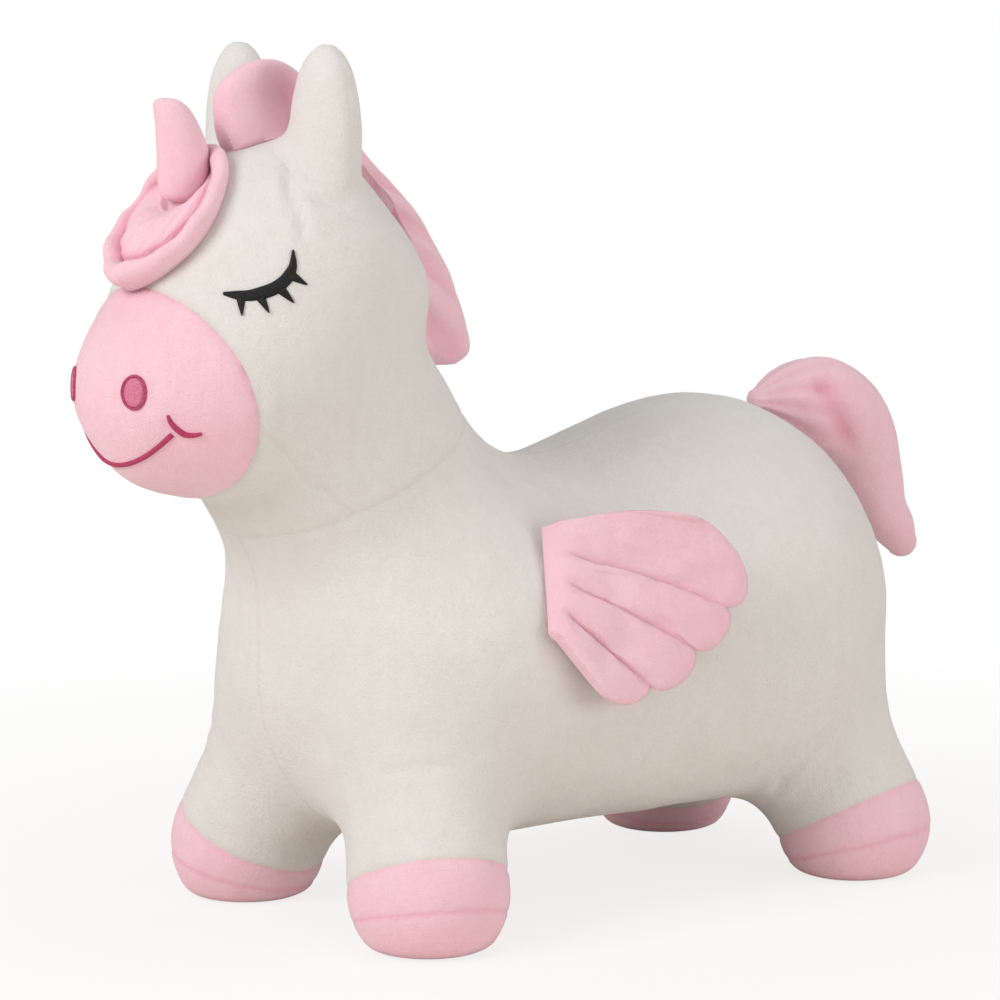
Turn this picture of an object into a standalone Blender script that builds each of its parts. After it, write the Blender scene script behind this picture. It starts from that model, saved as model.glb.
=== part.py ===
"""Bouncy ride-on unicorn: an air-filled hopper inside a sewn plush cover.

Metres, +Z up. The animal faces -Y and its left side is +X.
The origin is on the floor, under the middle of the overall length.
One formula, skin(), gives the outside of the inflated animal. Every cover panel and the bladder under it
are layers of that skin, and every sewn-on piece takes its place from it.
"""

import math

import bmesh
import bpy
import numpy as np
from mathutils import Matrix, Vector

# Middle of the four feet, behind the middle of the overall length
FEET_BEHIND = 0.012

# Torso: three swellings run into each other, flattened underneath
CHEST_AHEAD = 0.104
CHEST_HEIGHT = 0.143
CHEST_HALF_WIDTH = 0.113
CHEST_HALF_LENGTH = 0.100
CHEST_HALF_HEIGHT = 0.104
BARREL_BEHIND = 0.005
BARREL_HEIGHT = 0.140
BARREL_HALF_WIDTH = 0.120
BARREL_HALF_LENGTH = 0.155
BARREL_HALF_HEIGHT = 0.108
RUMP_BEHIND = 0.104
RUMP_HEIGHT = 0.155
RUMP_HALF_WIDTH = 0.122
RUMP_HALF_LENGTH = 0.101
RUMP_HALF_HEIGHT = 0.118
TORSO_BLEND = 0.050
BELLY_FLATTENING = 0.004
BELLY_BLEND = 0.020

# Neck, from the chest's middle up to its top
NECK_FOOT_AHEAD = 0.019
NECK_FOOT_RISE = 0.064
NECK_FOOT_RADIUS = 0.075
NECK_LEAN = 0.057
NECK_RISE = 0.090
NECK_TOP_RADIUS = 0.072
NECK_BLEND = 0.030

# Head, from the neck's top, and what is on it
HEAD_AHEAD = 0.007
HEAD_RISE = 0.054
HEAD_HALF_WIDTH = 0.080
HEAD_HALF_LENGTH = 0.079
HEAD_HALF_HEIGHT = 0.080
HEAD_BLEND = 0.012
MUZZLE_AHEAD = 0.040
MUZZLE_DROP = 0.050
MUZZLE_HALF_WIDTH = 0.071
MUZZLE_HALF_LENGTH = 0.080
MUZZLE_HALF_HEIGHT = 0.061
MUZZLE_BLEND = 0.040
EAR_SIDE = 0.040
EAR_BEHIND = 0.0015
EAR_RISE = 0.077
EAR_HALF_WIDTH = 0.023
EAR_HALF_THICKNESS = 0.018
EAR_HALF_HEIGHT = 0.052
EAR_BLEND = 0.015

# Legs, splayed outwards from hip to foot
FOOT_SIDE = 0.085
FOOT_REACH = 0.1535
FOOT_HEIGHT = 0.030
FOOT_RADIUS = 0.0435
HIP_INWARD = 0.030
HIP_TOWARDS_MIDDLE = 0.017
HIP_HEIGHT = 0.102
LEG_RADIUS = 0.042
LEG_BLEND = 0.030
FLOOR_BLEND = 0.006
SOLE_PRESSED = 0.0005

# Layers, outside to inside
COVER_THICKNESS = 0.003
COVER_TO_BLADDER = 0.0036
BLADDER_THICKNESS = 0.0016
SEAM_GAP = 0.0004
TOUCH_GAP = 0.0004
SKIN_VOXEL = 0.014
SKIN_KEPT_SHARE = 0.115
SKIN_LONGEST_EDGE = 0.048
EAR_LONGEST_EDGE = 0.020
BELLY_LONGEST_EDGE = 0.030
SEAM_SNAP = 0.003

# Seams of the cover
MUZZLE_SEAM_AHEAD = 0.039
MUZZLE_SEAM_LEAN_SHARE = 0.2
MUZZLE_SEAM_BOW_RADIUS = 0.42
COLLAR_RISE = 0.057
COLLAR_SLOPE_SHARE = 0.495
CHIN_SEAM_DROP = 0.033
CHIN_SEAM_SLOPE_SHARE = 0.79
EAR_SEAM_DROP = 0.011
EAR_SEAM_SLOPE_SHARE = 0.5
LEG_SEAM_OUTWARD = 0.025
LEG_SEAM_ALONG = 0.036
LEG_SEAM_RADIUS = 0.107
BAND_HEIGHT = 0.0385
BAND_SIDE_SLOPE_SHARE = 0.46
BAND_END_SLOPE_SHARE = 0.20
SOLE_HEIGHT = 0.0170
SOLE_SIDE_SLOPE_SHARE = 0.25
SOLE_END_SLOPE_SHARE = 0.10
BELLY_PANEL_HALF_WIDTH = 0.050
BELLY_PANEL_HALF_LENGTH = 0.080

# Zip in the belly, and the valve behind it
ZIP_OPENING_HALF = 0.0042
TAPE_HALF_LENGTH = 0.074
TAPE_WIDTH = 0.012
TAPE_THICKNESS = 0.0007
TAPE_OVER_OPENING = 0.0016
COIL_WIDTH = 0.0046
COIL_THICKNESS = 0.0020
COIL_TOOTH_PITCH = 0.008
SLIDER_LENGTH = 0.010
SLIDER_WIDTH = 0.0076
SLIDER_PLATE = 0.0012
SLIDER_LIP = 0.0010
SLIDER_FROM_END = 0.012
PULL_LENGTH = 0.014
PULL_WIDTH = 0.0052
PULL_THICKNESS = 0.0012
PULL_PIN_RADIUS = 0.0008
PULL_PIN_DROP = 0.0026
STOP_LENGTH = 0.0024
VALVE_FLANGE_RADIUS = 0.0165
VALVE_CUP_RADIUS = 0.0125
VALVE_CUP_DEPTH = 0.0180
VALVE_WALL = 0.0016
VALVE_BORE_RADIUS = 0.0048
PLUG_HEAD_RADIUS = 0.0100
PLUG_HEAD_THICKNESS = 0.0026
PLUG_STEM_LENGTH = 0.0090
PLUG_TAPER_SHARE = 0.86

# Horn, a stuffed cone on a round root that rocks on the forehead
HORN_PLACE_DEGREES = 43.0
HORN_ROOT_RADIUS = 0.0155
HORN_TIP_RADIUS = 0.0070
HORN_HEIGHT = 0.0265
HORN_BEND = 0.0115
HORN_MOUTH_RADIUS = 0.006
HORN_ROCK_CLEARANCE = 0.0008
HORN_ROCK_DEGREES = 12.0
STUFFED_WALL = 0.0022

# Forelock, a padded leaf with a raised rim over the forehead, round the horn's root
FORELOCK_PLACE_DEGREES = 60.0
FORELOCK_HALF_LENGTH = 0.047
FORELOCK_HALF_WIDTH = 0.035
FORELOCK_PAD = 0.0075
FORELOCK_RIM_HEIGHT = 0.0125
FORELOCK_RIM_WIDTH = 0.011
FORELOCK_LIP = 0.005

# Mane, a padded crest from between the ears to the nape
MANE_HALF_WIDTH = 0.0135
MANE_HEIGHT = 0.053
MANE_START_DEGREES = 25.0
MANE_END_DEGREES = 116.0
MANE_SUNK = 0.006

# Tail, a stuffed plume that swings on its root seam
TAIL_PLACE_DEGREES = 67.0
TAIL_LENGTH = 0.120
TAIL_ROOT_RADIUS = 0.0065
TAIL_RADIUS = 0.0255
TAIL_MOUTH_RADIUS = 0.003
TAIL_CLEARANCE = 0.0008

# Wings, quilted flaps sewn on by their front edge
WING_ROOT_BEHIND = 0.0213
WING_ROOT_RISE = 0.0743
WING_LENGTH = 0.113
WING_ROOT_RADIUS = 0.0022
WING_ROOT_CLEARANCE = 0.0045
WING_TIP_OUT = 0.017
WING_BULGE = 0.013
WING_THICKNESS = 0.013
WING_EDGE_THICKNESS = 0.0044
WING_FABRIC = 0.0008

# Embroidery, raised satin stitch
STITCH_RAISE = 0.0012
EYE_WIDTH = 0.033
EYE_BAND = 0.0040
LASH_LENGTH = 0.011
# Front corner from the head's middle by shares of its half sizes, then the back corner and the dip of the arc
# by (y, z) shares of the eye's width
EYE_FRONT_SHARES = (0.886, 0.02)
EYE_BACK_SHARES = (0.94, 0.70)
EYE_DIP_SHARES = (0.84, -0.10)
# Each lash by its place along the lid, its length and its lean, then the widths along it
LASH_SHARES = ((0.28, 1.0, -0.10), (0.52, 0.95, 0.16), (0.74, 0.95, 0.55), (0.92, 0.85, 1.0))
LASH_WIDTH_SHARES = (0.42, 0.24, 0.05)
NOSTRIL_SIDE = 0.029
NOSTRIL_ABOVE_MUZZLE = 0.002
NOSTRIL_HALF_WIDTH = 0.0068
NOSTRIL_HALF_HEIGHT = 0.0085
MOUTH_DROP = 0.042
MOUTH_HALF_WIDTH = 0.046
MOUTH_BAND = 0.0028
TICK_LENGTH = 0.016
# The smile's ends rise by this share of its drop, and each tick's height is read from three shares
MOUTH_CURL_SHARE = 0.6
TICK_REACH_SHARE = 0.62
TICK_START_SHARE = 0.10
TICK_LEVEL_SHARES = (0.50, -1.30, 0.75)
TICK_WIDTH_SHARES = (0.15, 0.4, 0.5, 0.5, 0.4, 0.15)

# Places worked out from the sizes above
FEET = Vector((0.0, FEET_BEHIND, 0.0))
CHEST = FEET + Vector((0.0, -CHEST_AHEAD, CHEST_HEIGHT))
BARREL = FEET + Vector((0.0, BARREL_BEHIND, BARREL_HEIGHT))
RUMP = FEET + Vector((0.0, RUMP_BEHIND, RUMP_HEIGHT))
NECK_FOOT = CHEST + Vector((0.0, -NECK_FOOT_AHEAD, NECK_FOOT_RISE))
NECK_TOP = NECK_FOOT + Vector((0.0, -NECK_LEAN, NECK_RISE))
HEAD = NECK_TOP + Vector((0.0, -HEAD_AHEAD, HEAD_RISE))
MUZZLE = HEAD + Vector((0.0, -MUZZLE_AHEAD, -MUZZLE_DROP))
EAR = HEAD + Vector((EAR_SIDE, EAR_BEHIND, EAR_RISE))
BLADDER_DEPTH = COVER_THICKNESS + COVER_TO_BLADDER
# The belly is flattened a little above the bottom of whichever swelling stands highest
BELLY_CLEARANCE = BELLY_FLATTENING + max(
    CHEST_HEIGHT - CHEST_HALF_HEIGHT, BARREL_HEIGHT - BARREL_HALF_HEIGHT, RUMP_HEIGHT - RUMP_HALF_HEIGHT
)
ZIP_FRONT = FEET.y - TAPE_HALF_LENGTH
ZIP_REAR = FEET.y + TAPE_HALF_LENGTH

COLOURS = {
    "plush_white": (0.83, 0.81, 0.78),
    "plush_pink": (0.86, 0.50, 0.58),
    "thread_black": (0.02, 0.02, 0.02),
    "thread_magenta": (0.55, 0.06, 0.16),
    "filling": (0.90, 0.90, 0.88),
    "bladder": (0.80, 0.55, 0.60),
    "zip_tape": (0.82, 0.80, 0.77),
    "zip_metal": (0.60, 0.60, 0.60),
    "valve": (0.88, 0.88, 0.86),
}
ROUGHNESS = {"zip_metal": 0.35, "valve": 0.45, "bladder": 0.45}


def clear_scene():
    for obj in list(bpy.data.objects):
        bpy.data.objects.remove(obj, do_unlink=True)


def collection_named(name):
    found = bpy.data.collections.new(name)
    bpy.context.scene.collection.children.link(found)
    return found


def material_named(slot):
    found = bpy.data.materials.get(slot)
    if found:
        return found
    found = bpy.data.materials.new(slot)
    found.use_nodes = True
    shader = found.node_tree.nodes["Principled BSDF"]
    shader.inputs["Base Color"].default_value = (*COLOURS[slot], 1.0)
    shader.inputs["Roughness"].default_value = ROUGHNESS.get(slot, 0.9)
    shader.inputs["Metallic"].default_value = 1.0 if slot == "zip_metal" else 0.0
    return found


clear_scene()
PARTS = collection_named("ride_on_unicorn")
CUTTERS = collection_named("cutters")


def add_object(name, mesh, slot):
    """A part of the toy, with its own material."""
    obj = bpy.data.objects.new(name, mesh)
    PARTS.objects.link(obj)
    mesh.materials.append(material_named(slot))
    mesh.shade_smooth()
    return obj


def add_cutter(name, mesh):
    obj = bpy.data.objects.new(name, mesh)
    CUTTERS.objects.link(obj)
    obj.hide_render = True
    obj.display_type = "WIRE"
    return obj


def mesh_from(name, points, faces):
    mesh = bpy.data.meshes.new(name)
    mesh.from_pydata([tuple(point) for point in points], [], faces)
    mesh.update()
    return mesh


def mesh_of(name, bm):
    """The bmesh as a mesh whose faces look outwards."""
    bmesh.ops.recalc_face_normals(bm, faces=bm.faces)
    mesh = bpy.data.meshes.new(name)
    bm.to_mesh(mesh)
    bm.free()
    return mesh


def subtract(obj, cutter, solver="EXACT"):
    cut = obj.modifiers.new("cut_" + cutter.name, "BOOLEAN")
    cut.operation = "DIFFERENCE"
    cut.solver = solver
    cut.object = cutter


def unite(obj, other):
    join = obj.modifiers.new("join_" + other.name, "BOOLEAN")
    join.operation = "UNION"
    join.object = other


# The skin formula: distances to swellings and limbs, run into each other


def swelling(p, middle, radii):
    """Distance to an ellipsoid, close near its surface."""
    q = (p - np.array(middle)) / np.array(radii)
    near = np.linalg.norm(q, axis=1)
    slope = np.linalg.norm(q / np.array(radii), axis=1)
    return near * (near - 1.0) / np.maximum(slope, 1e-9)


def limb(p, start, end, start_radius, end_radius):
    """Distance to a round-ended cone."""
    start, end = np.array(start), np.array(end)
    axis = end - start
    length = np.linalg.norm(axis)
    axis = axis / length
    lean = (start_radius - end_radius) / length
    rise = math.sqrt(1.0 - lean * lean)
    along = (p - start) @ axis
    across = np.linalg.norm((p - start) - np.outer(along, axis), axis=1)
    foot = along + across * lean / rise
    foot = np.clip(foot, 0.0, length)
    radius = start_radius + (end_radius - start_radius) * foot / length
    return np.linalg.norm((p - start) - np.outer(foot, axis), axis=1) - radius


def soft_min(a, b, blend):
    h = np.maximum(blend - np.abs(a - b), 0.0) / blend
    return np.minimum(a, b) - h * h * blend / 4.0


def soft_max(a, b, blend):
    return -soft_min(-a, -b, blend)


def skin(points):
    """Below zero inside the inflated animal and above zero outside. Both halves are alike."""
    p = np.array(points, float)
    p[:, 0] = np.abs(p[:, 0])
    torso = swelling(p, CHEST, (CHEST_HALF_WIDTH, CHEST_HALF_LENGTH, CHEST_HALF_HEIGHT))
    barrel = swelling(p, BARREL, (BARREL_HALF_WIDTH, BARREL_HALF_LENGTH, BARREL_HALF_HEIGHT))
    rump = swelling(p, RUMP, (RUMP_HALF_WIDTH, RUMP_HALF_LENGTH, RUMP_HALF_HEIGHT))
    torso = soft_min(torso, barrel, TORSO_BLEND)
    torso = soft_min(torso, rump, TORSO_BLEND)
    body = soft_max(torso, BELLY_CLEARANCE - p[:, 2], BELLY_BLEND)
    neck = limb(p, NECK_FOOT, NECK_TOP, NECK_FOOT_RADIUS, NECK_TOP_RADIUS)
    body = soft_min(body, neck, NECK_BLEND)
    head = swelling(p, HEAD, (HEAD_HALF_WIDTH, HEAD_HALF_LENGTH, HEAD_HALF_HEIGHT))
    muzzle = swelling(p, MUZZLE, (MUZZLE_HALF_WIDTH, MUZZLE_HALF_LENGTH, MUZZLE_HALF_HEIGHT))
    head = soft_min(head, muzzle, MUZZLE_BLEND)
    body = soft_min(body, head, HEAD_BLEND)
    ear = swelling(p, EAR, (EAR_HALF_WIDTH, EAR_HALF_THICKNESS, EAR_HALF_HEIGHT))
    body = soft_min(body, ear, EAR_BLEND)
    for end in (-1, 1):
        body = soft_min(body, limb(p, *leg_ends(1, end), LEG_RADIUS, FOOT_RADIUS), LEG_BLEND)
    return soft_max(body, -p[:, 2], FLOOR_BLEND)


def leg_ends(side, end):
    """Hip and foot middles of one leg: side is 1 for left, end is -1 for front."""
    hip = Vector((side * (FOOT_SIDE - HIP_INWARD), end * (FOOT_REACH - HIP_TOWARDS_MIDDLE), HIP_HEIGHT))
    foot = Vector((side * FOOT_SIDE, end * FOOT_REACH, FOOT_HEIGHT))
    return FEET + hip, FEET + foot


def outward(points):
    """Unit vectors square to the skin's level surfaces."""
    step = TOUCH_GAP
    slopes = []
    for axis in np.eye(3):
        slopes.append(skin(points + step * axis) - skin(points - step * axis))
    slopes = np.stack(slopes, 1) / (2.0 * step)
    return slopes, slopes / np.linalg.norm(slopes, axis=1)[:, None]


def onto_skin(points, turns=8):
    points = np.array(points, float)
    for _ in range(turns):
        slopes, _ = outward(points)
        square = np.maximum((slopes * slopes).sum(1), 1e-6)
        points = points - slopes * (skin(points) / square)[:, None]
    return points


def cast(start, direction):
    """The first point where a ray from inside the animal leaves the skin, and the way out there."""
    start, direction = np.array(start, float), np.array(direction, float)
    direction = direction / np.linalg.norm(direction)
    steps = np.arange(0.0, BARREL_HALF_LENGTH + RUMP_HALF_LENGTH, TOUCH_GAP * 2.0)
    line = start + np.outer(steps, direction)
    outside = np.nonzero(skin(line) > 0.0)[0]
    point = onto_skin(line[outside[0] : outside[0] + 1])
    return Vector(point[0]), Vector(outward(point)[1][0])


# The skin as a mesh: the left half, open along the middle plane


def add_ball(bm, middle, radii):
    ball = bmesh.ops.create_uvsphere(bm, u_segments=24, v_segments=16, radius=1.0)
    place = Matrix.Translation(middle) @ Matrix.Diagonal((*radii, 1.0))
    bmesh.ops.transform(bm, matrix=place, verts=ball["verts"])


def rough_animal():
    """Balls along every swelling and limb, remeshed into one even skin."""
    bm = bmesh.new()
    add_ball(bm, CHEST, (CHEST_HALF_WIDTH, CHEST_HALF_LENGTH, CHEST_HALF_HEIGHT))
    add_ball(bm, BARREL, (BARREL_HALF_WIDTH, BARREL_HALF_LENGTH, BARREL_HALF_HEIGHT))
    add_ball(bm, RUMP, (RUMP_HALF_WIDTH, RUMP_HALF_LENGTH, RUMP_HALF_HEIGHT))
    add_ball(bm, HEAD, (HEAD_HALF_WIDTH, HEAD_HALF_LENGTH, HEAD_HALF_HEIGHT))
    add_ball(bm, MUZZLE, (MUZZLE_HALF_WIDTH, MUZZLE_HALF_LENGTH, MUZZLE_HALF_HEIGHT))
    for share in np.linspace(0.0, 1.0, 5):
        radius = NECK_FOOT_RADIUS + share * (NECK_TOP_RADIUS - NECK_FOOT_RADIUS)
        add_ball(bm, NECK_FOOT.lerp(NECK_TOP, share), (radius,) * 3)
    for side in (-1, 1):
        add_ball(bm, (side * EAR.x, EAR.y, EAR.z), (EAR_HALF_WIDTH, EAR_HALF_THICKNESS, EAR_HALF_HEIGHT))
        for end in (-1, 1):
            hip, foot = leg_ends(side, end)
            for share in np.linspace(0.0, 1.0, 5):
                radius = LEG_RADIUS + share * (FOOT_RADIUS - LEG_RADIUS)
                add_ball(bm, hip.lerp(foot, share), (radius,) * 3)
    rough = add_cutter("rough_animal", mesh_of("rough_animal", bm))
    remesh = rough.modifiers.new("even_skin", "REMESH")
    remesh.mode = "VOXEL"
    remesh.voxel_size = SKIN_VOXEL
    graph = bpy.context.evaluated_depsgraph_get()
    mesh = bpy.data.meshes.new_from_object(rough.evaluated_get(graph))
    bpy.data.objects.remove(rough, do_unlink=True)
    return mesh


def half_skin():
    """The left half as a bmesh of triangles, each point holding its way out in the layer 'out'."""
    bm = bmesh.new()
    bm.from_mesh(rough_animal())
    everything = bm.verts[:] + bm.edges[:] + bm.faces[:]
    bmesh.ops.bisect_plane(
        bm, geom=everything, dist=TOUCH_GAP, plane_co=(0, 0, 0), plane_no=(1, 0, 0), clear_inner=True
    )
    bmesh.ops.triangulate(bm, faces=bm.faces[:])
    for _ in range(5):
        settle(bm, 0.5)
    thinned(bm)
    for _ in range(3):
        long = [edge for edge in bm.edges if edge.calc_length() > longest_edge(edge)]
        bmesh.ops.subdivide_edges(bm, edges=long, cuts=1)
        bmesh.ops.triangulate(bm, faces=[face for face in bm.faces if len(face.verts) > 3])
        settle(bm, 0.15)
    settle(bm, 0.0)
    out = bm.verts.layers.float_vector.new("out")
    bm.verts.layers.int.new("on_seam")
    ways = outward(np.array([v.co for v in bm.verts]))[1]
    for vertex, way in zip(bm.verts, ways):
        if vertex.is_boundary:
            way[0] = 0.0
        vertex[out] = Vector(way).normalized()
    score(bm, lambda p: p[:, 2] - SOLE_PRESSED, lambda p: p[:, 2] < FOOT_HEIGHT)
    for vertex in bm.verts:
        if vertex.co.z < SOLE_PRESSED + SEAM_GAP:
            vertex.co.z = 0.0
            vertex[out] = Vector((0.0, 0.0, -1.0))
    return bm


def longest_edge(edge):
    """How long an edge of the skin may be: shorter in the ears' tips and on the belly round its panel."""
    middle = (edge.verts[0].co + edge.verts[1].co) / 2.0
    if middle.z > EAR.z:
        return EAR_LONGEST_EDGE
    beside = middle.x < 1.3 * BELLY_PANEL_HALF_WIDTH and middle.z < 1.2 * BELLY_CLEARANCE
    if beside and abs(middle.y - FEET.y) < 1.3 * BELLY_PANEL_HALF_LENGTH:
        return BELLY_LONGEST_EDGE
    return SKIN_LONGEST_EDGE


def settle(bm, ease):
    """Moves every point a share of the way to the mean of its neighbours, then onto the skin."""
    bm.verts.index_update()
    points = np.array([v.co for v in bm.verts])
    middle = np.array([v.is_boundary for v in bm.verts])
    moved = points.copy()
    for vertex in bm.verts:
        around = [edge.other_vert(vertex).index for edge in vertex.link_edges]
        if middle[vertex.index]:
            around = [index for index in around if middle[index]]
        moved[vertex.index] += ease * (points[around].mean(0) - points[vertex.index])
    moved[middle, 0] = 0.0
    moved = onto_skin(moved)
    moved[middle, 0] = 0.0
    for vertex, point in zip(bm.verts, moved):
        vertex.co = point


def thinned(bm):
    """Fewer triangles where the skin is flatter."""
    dense = bpy.data.meshes.new("dense_skin")
    bm.to_mesh(dense)
    obj = add_cutter("dense_skin", dense)
    thin = obj.modifiers.new("thin", "DECIMATE")
    thin.ratio = SKIN_KEPT_SHARE
    graph = bpy.context.evaluated_depsgraph_get()
    mesh = bpy.data.meshes.new_from_object(obj.evaluated_get(graph))
    bpy.data.objects.remove(obj, do_unlink=True)
    bm.clear()
    bm.from_mesh(mesh)


# Seams: each is a formula that is zero on the seam and above zero on its own panel's side


def beyond_collar(p):
    """Above zero on the head's side of the seam round the neck."""
    return p[:, 2] - NECK_FOOT.z - COLLAR_RISE - COLLAR_SLOPE_SHARE * (p[:, 1] - NECK_FOOT.y)


def in_muzzle(p):
    bow = p[:, 0] ** 2 / MUZZLE_SEAM_BOW_RADIUS
    lean = MUZZLE_SEAM_LEAN_SHARE * (p[:, 2] - MUZZLE.z)
    return (MUZZLE.y - MUZZLE_SEAM_AHEAD - lean + bow) - p[:, 1]


def below_chin_seam(p):
    return MUZZLE.z - CHIN_SEAM_DROP - CHIN_SEAM_SLOPE_SHARE * (p[:, 1] - MUZZLE.y) - p[:, 2]


def in_ear(p):
    return p[:, 2] - (EAR.z - EAR_SEAM_DROP - EAR_SEAM_SLOPE_SHARE * (p[:, 0] - EAR.x))


def ear_front(p):
    return EAR.y - p[:, 1]


def in_leg(p, end):
    reach = FEET.y + end * (FOOT_REACH + LEG_SEAM_ALONG)
    middle = np.array((FOOT_SIDE + LEG_SEAM_OUTWARD, reach, 0.0))
    return LEG_SEAM_RADIUS - np.linalg.norm(p - middle, axis=1)


def in_hoof(p):
    side = BAND_SIDE_SLOPE_SHARE * (p[:, 0] - FOOT_SIDE)
    return BAND_HEIGHT + side + BAND_END_SLOPE_SHARE * (np.abs(p[:, 1] - FEET.y) - FOOT_REACH) - p[:, 2]


def in_sole(p):
    side = SOLE_SIDE_SLOPE_SHARE * (p[:, 0] - FOOT_SIDE)
    return SOLE_HEIGHT + side + SOLE_END_SLOPE_SHARE * (np.abs(p[:, 1] - FEET.y) - FOOT_REACH) - p[:, 2]


def in_belly_panel(p):
    across = np.abs(p[:, 0]) / BELLY_PANEL_HALF_WIDTH
    along = np.abs(p[:, 1] - FEET.y) / BELLY_PANEL_HALF_LENGTH
    reach = BELLY_PANEL_HALF_WIDTH * (1.0 - (across**3 + along**3) ** (1.0 / 3.0))
    return np.minimum(reach, 2.0 * BELLY_CLEARANCE - p[:, 2])


def in_zip_opening(p):
    return np.minimum(ZIP_OPENING_HALF - p[:, 0], in_belly_panel(p))


def region(p):
    """The panel that each point of the left half belongs to."""
    head = beyond_collar(p) > 0
    ear = head & (in_ear(p) > 0)
    muzzle = head & (in_muzzle(p) > 0)
    chin = head & ~muzzle & (below_chin_seam(p) > 0)
    names = np.full(len(p), "body_side", dtype=object)
    names[head] = "head_side"
    names[chin] = "chin_gusset"
    names[muzzle] = "muzzle"
    names[ear & (ear_front(p) > 0)] = "ear_front"
    names[ear & (ear_front(p) <= 0)] = "ear_back"
    for end, place in ((-1, "front"), (1, "hind")):
        leg = ~head & (in_leg(p, end) > 0)
        names[leg] = place + "_leg_cover"
        names[leg & (in_hoof(p) > 0)] = place + "_hoof_band"
        names[leg & (in_sole(p) > 0)] = place + "_hoof_sole"
    belly = names == "body_side"
    names[belly & (in_belly_panel(p) > 0)] = "belly_panel"
    names[belly & (in_zip_opening(p) > 0)] = "zip_opening"
    return names


def snap(bm, field, values):
    """Points close to the seam are moved onto it along the skin, unless they lie on another seam."""
    on_seam = bm.verts.layers.int["on_seam"]
    out = bm.verts.layers.float_vector["out"]
    near = [v for v in bm.verts if TOUCH_GAP / 4.0 < abs(values[v.index]) < SEAM_SNAP and not v[on_seam]]
    if not near:
        return
    points = np.array([v.co for v in near])
    ways = np.array([v[out] for v in near])
    slopes = [(field(points + TOUCH_GAP * axis) - field(points)) / TOUCH_GAP for axis in np.eye(3)]
    slopes = np.stack(slopes, 1)
    slopes -= ways * (slopes * ways).sum(1)[:, None]
    slopes[[v.is_boundary for v in near], 0] = 0.0
    steps = slopes * (field(points) / np.maximum((slopes * slopes).sum(1), 0.05))[:, None]
    moved = points - steps
    moved[[v.is_boundary for v in near], 0] = 0.0
    left = np.abs(field(moved))
    ways = outward(moved)[1]
    for index, vertex in enumerate(near):
        if np.linalg.norm(steps[index]) > 1.5 * SEAM_SNAP or left[index] > TOUCH_GAP:
            continue
        if vertex.is_boundary:
            ways[index, 0] = 0.0
        vertex.co = moved[index]
        vertex[out] = Vector(ways[index]).normalized()
        values[vertex.index] = 0.0


def crossings(field, edges):
    """How far along each edge the field is zero, by halving."""
    if not edges:
        return []
    starts = np.array([edge.verts[0].co for edge in edges])
    ends = np.array([edge.verts[1].co for edge in edges])
    rising = field(ends) > field(starts)
    low, high = np.zeros(len(edges)), np.ones(len(edges))
    for _ in range(12):
        middle = (low + high) / 2.0
        past = (field(starts + (ends - starts) * middle[:, None]) > 0.0) == rising
        high = np.where(past, middle, high)
        low = np.where(past, low, middle)
    return [float(share) for share in (low + high) / 2.0]


def score(bm, field, within):
    """Runs an edge through each face whose middle is within, where the field is zero."""
    out = bm.verts.layers.float_vector["out"]
    on_seam = bm.verts.layers.int["on_seam"]
    bmesh.ops.triangulate(bm, faces=[face for face in bm.faces if len(face.verts) > 3])
    bm.verts.index_update()
    middles = np.array([face.calc_center_median() for face in bm.faces])
    chosen = [face for face, take in zip(bm.faces[:], within(middles)) if take]
    here = {vertex for face in chosen for vertex in face.verts}
    values = np.full(len(bm.verts), np.inf)
    found = field(np.array([v.co for v in bm.verts]))
    for vertex in here:
        values[vertex.index] = found[vertex.index]
    snap(bm, field, values)
    values[np.abs(values) < TOUCH_GAP] = 0.0
    value = {vertex: values[vertex.index] for vertex in bm.verts}
    edges = {edge for face in chosen for edge in face.edges}
    crossed = [edge for edge in edges if value[edge.verts[0]] * value[edge.verts[1]] < 0.0]
    crossed.sort(key=lambda edge: (edge.verts[0].index, edge.verts[1].index))
    for edge, share in zip(crossed, crossings(field, crossed)):
        a, b = edge.verts
        way = a[out].lerp(b[out], share)
        place = a.co.lerp(b.co, share)
        _, new = bmesh.utils.edge_split(edge, a, share)
        new.co = place
        new[out] = way.normalized()
        value[new] = 0.0
    for face in chosen:
        on_line = [vertex for vertex in face.verts if value[vertex] == 0.0]
        if len(on_line) == 2 and not set(on_line[0].link_edges) & set(on_line[1].link_edges):
            bmesh.utils.face_split(face, on_line[0], on_line[1])
    for vertex in here | set(value):
        if vertex.is_valid and value.get(vertex) == 0.0:
            vertex[on_seam] = 1
    weld_close(bm)


def weld_close(bm):
    """Makes one point of any two seam points that lie almost together along an edge."""
    on_seam = bm.verts.layers.int["on_seam"]
    target = {}
    for edge in bm.edges:
        kept, dropped = edge.verts
        if edge.calc_length() > SEAM_SNAP / 1.5 or not (kept[on_seam] and dropped[on_seam]):
            continue
        if dropped.is_boundary:
            kept, dropped = dropped, kept
        used = set(target) | set(target.values())
        if not dropped.is_boundary and not {kept, dropped} & used:
            target[dropped] = kept
    bmesh.ops.weld_verts(bm, targetmap=target)


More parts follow.
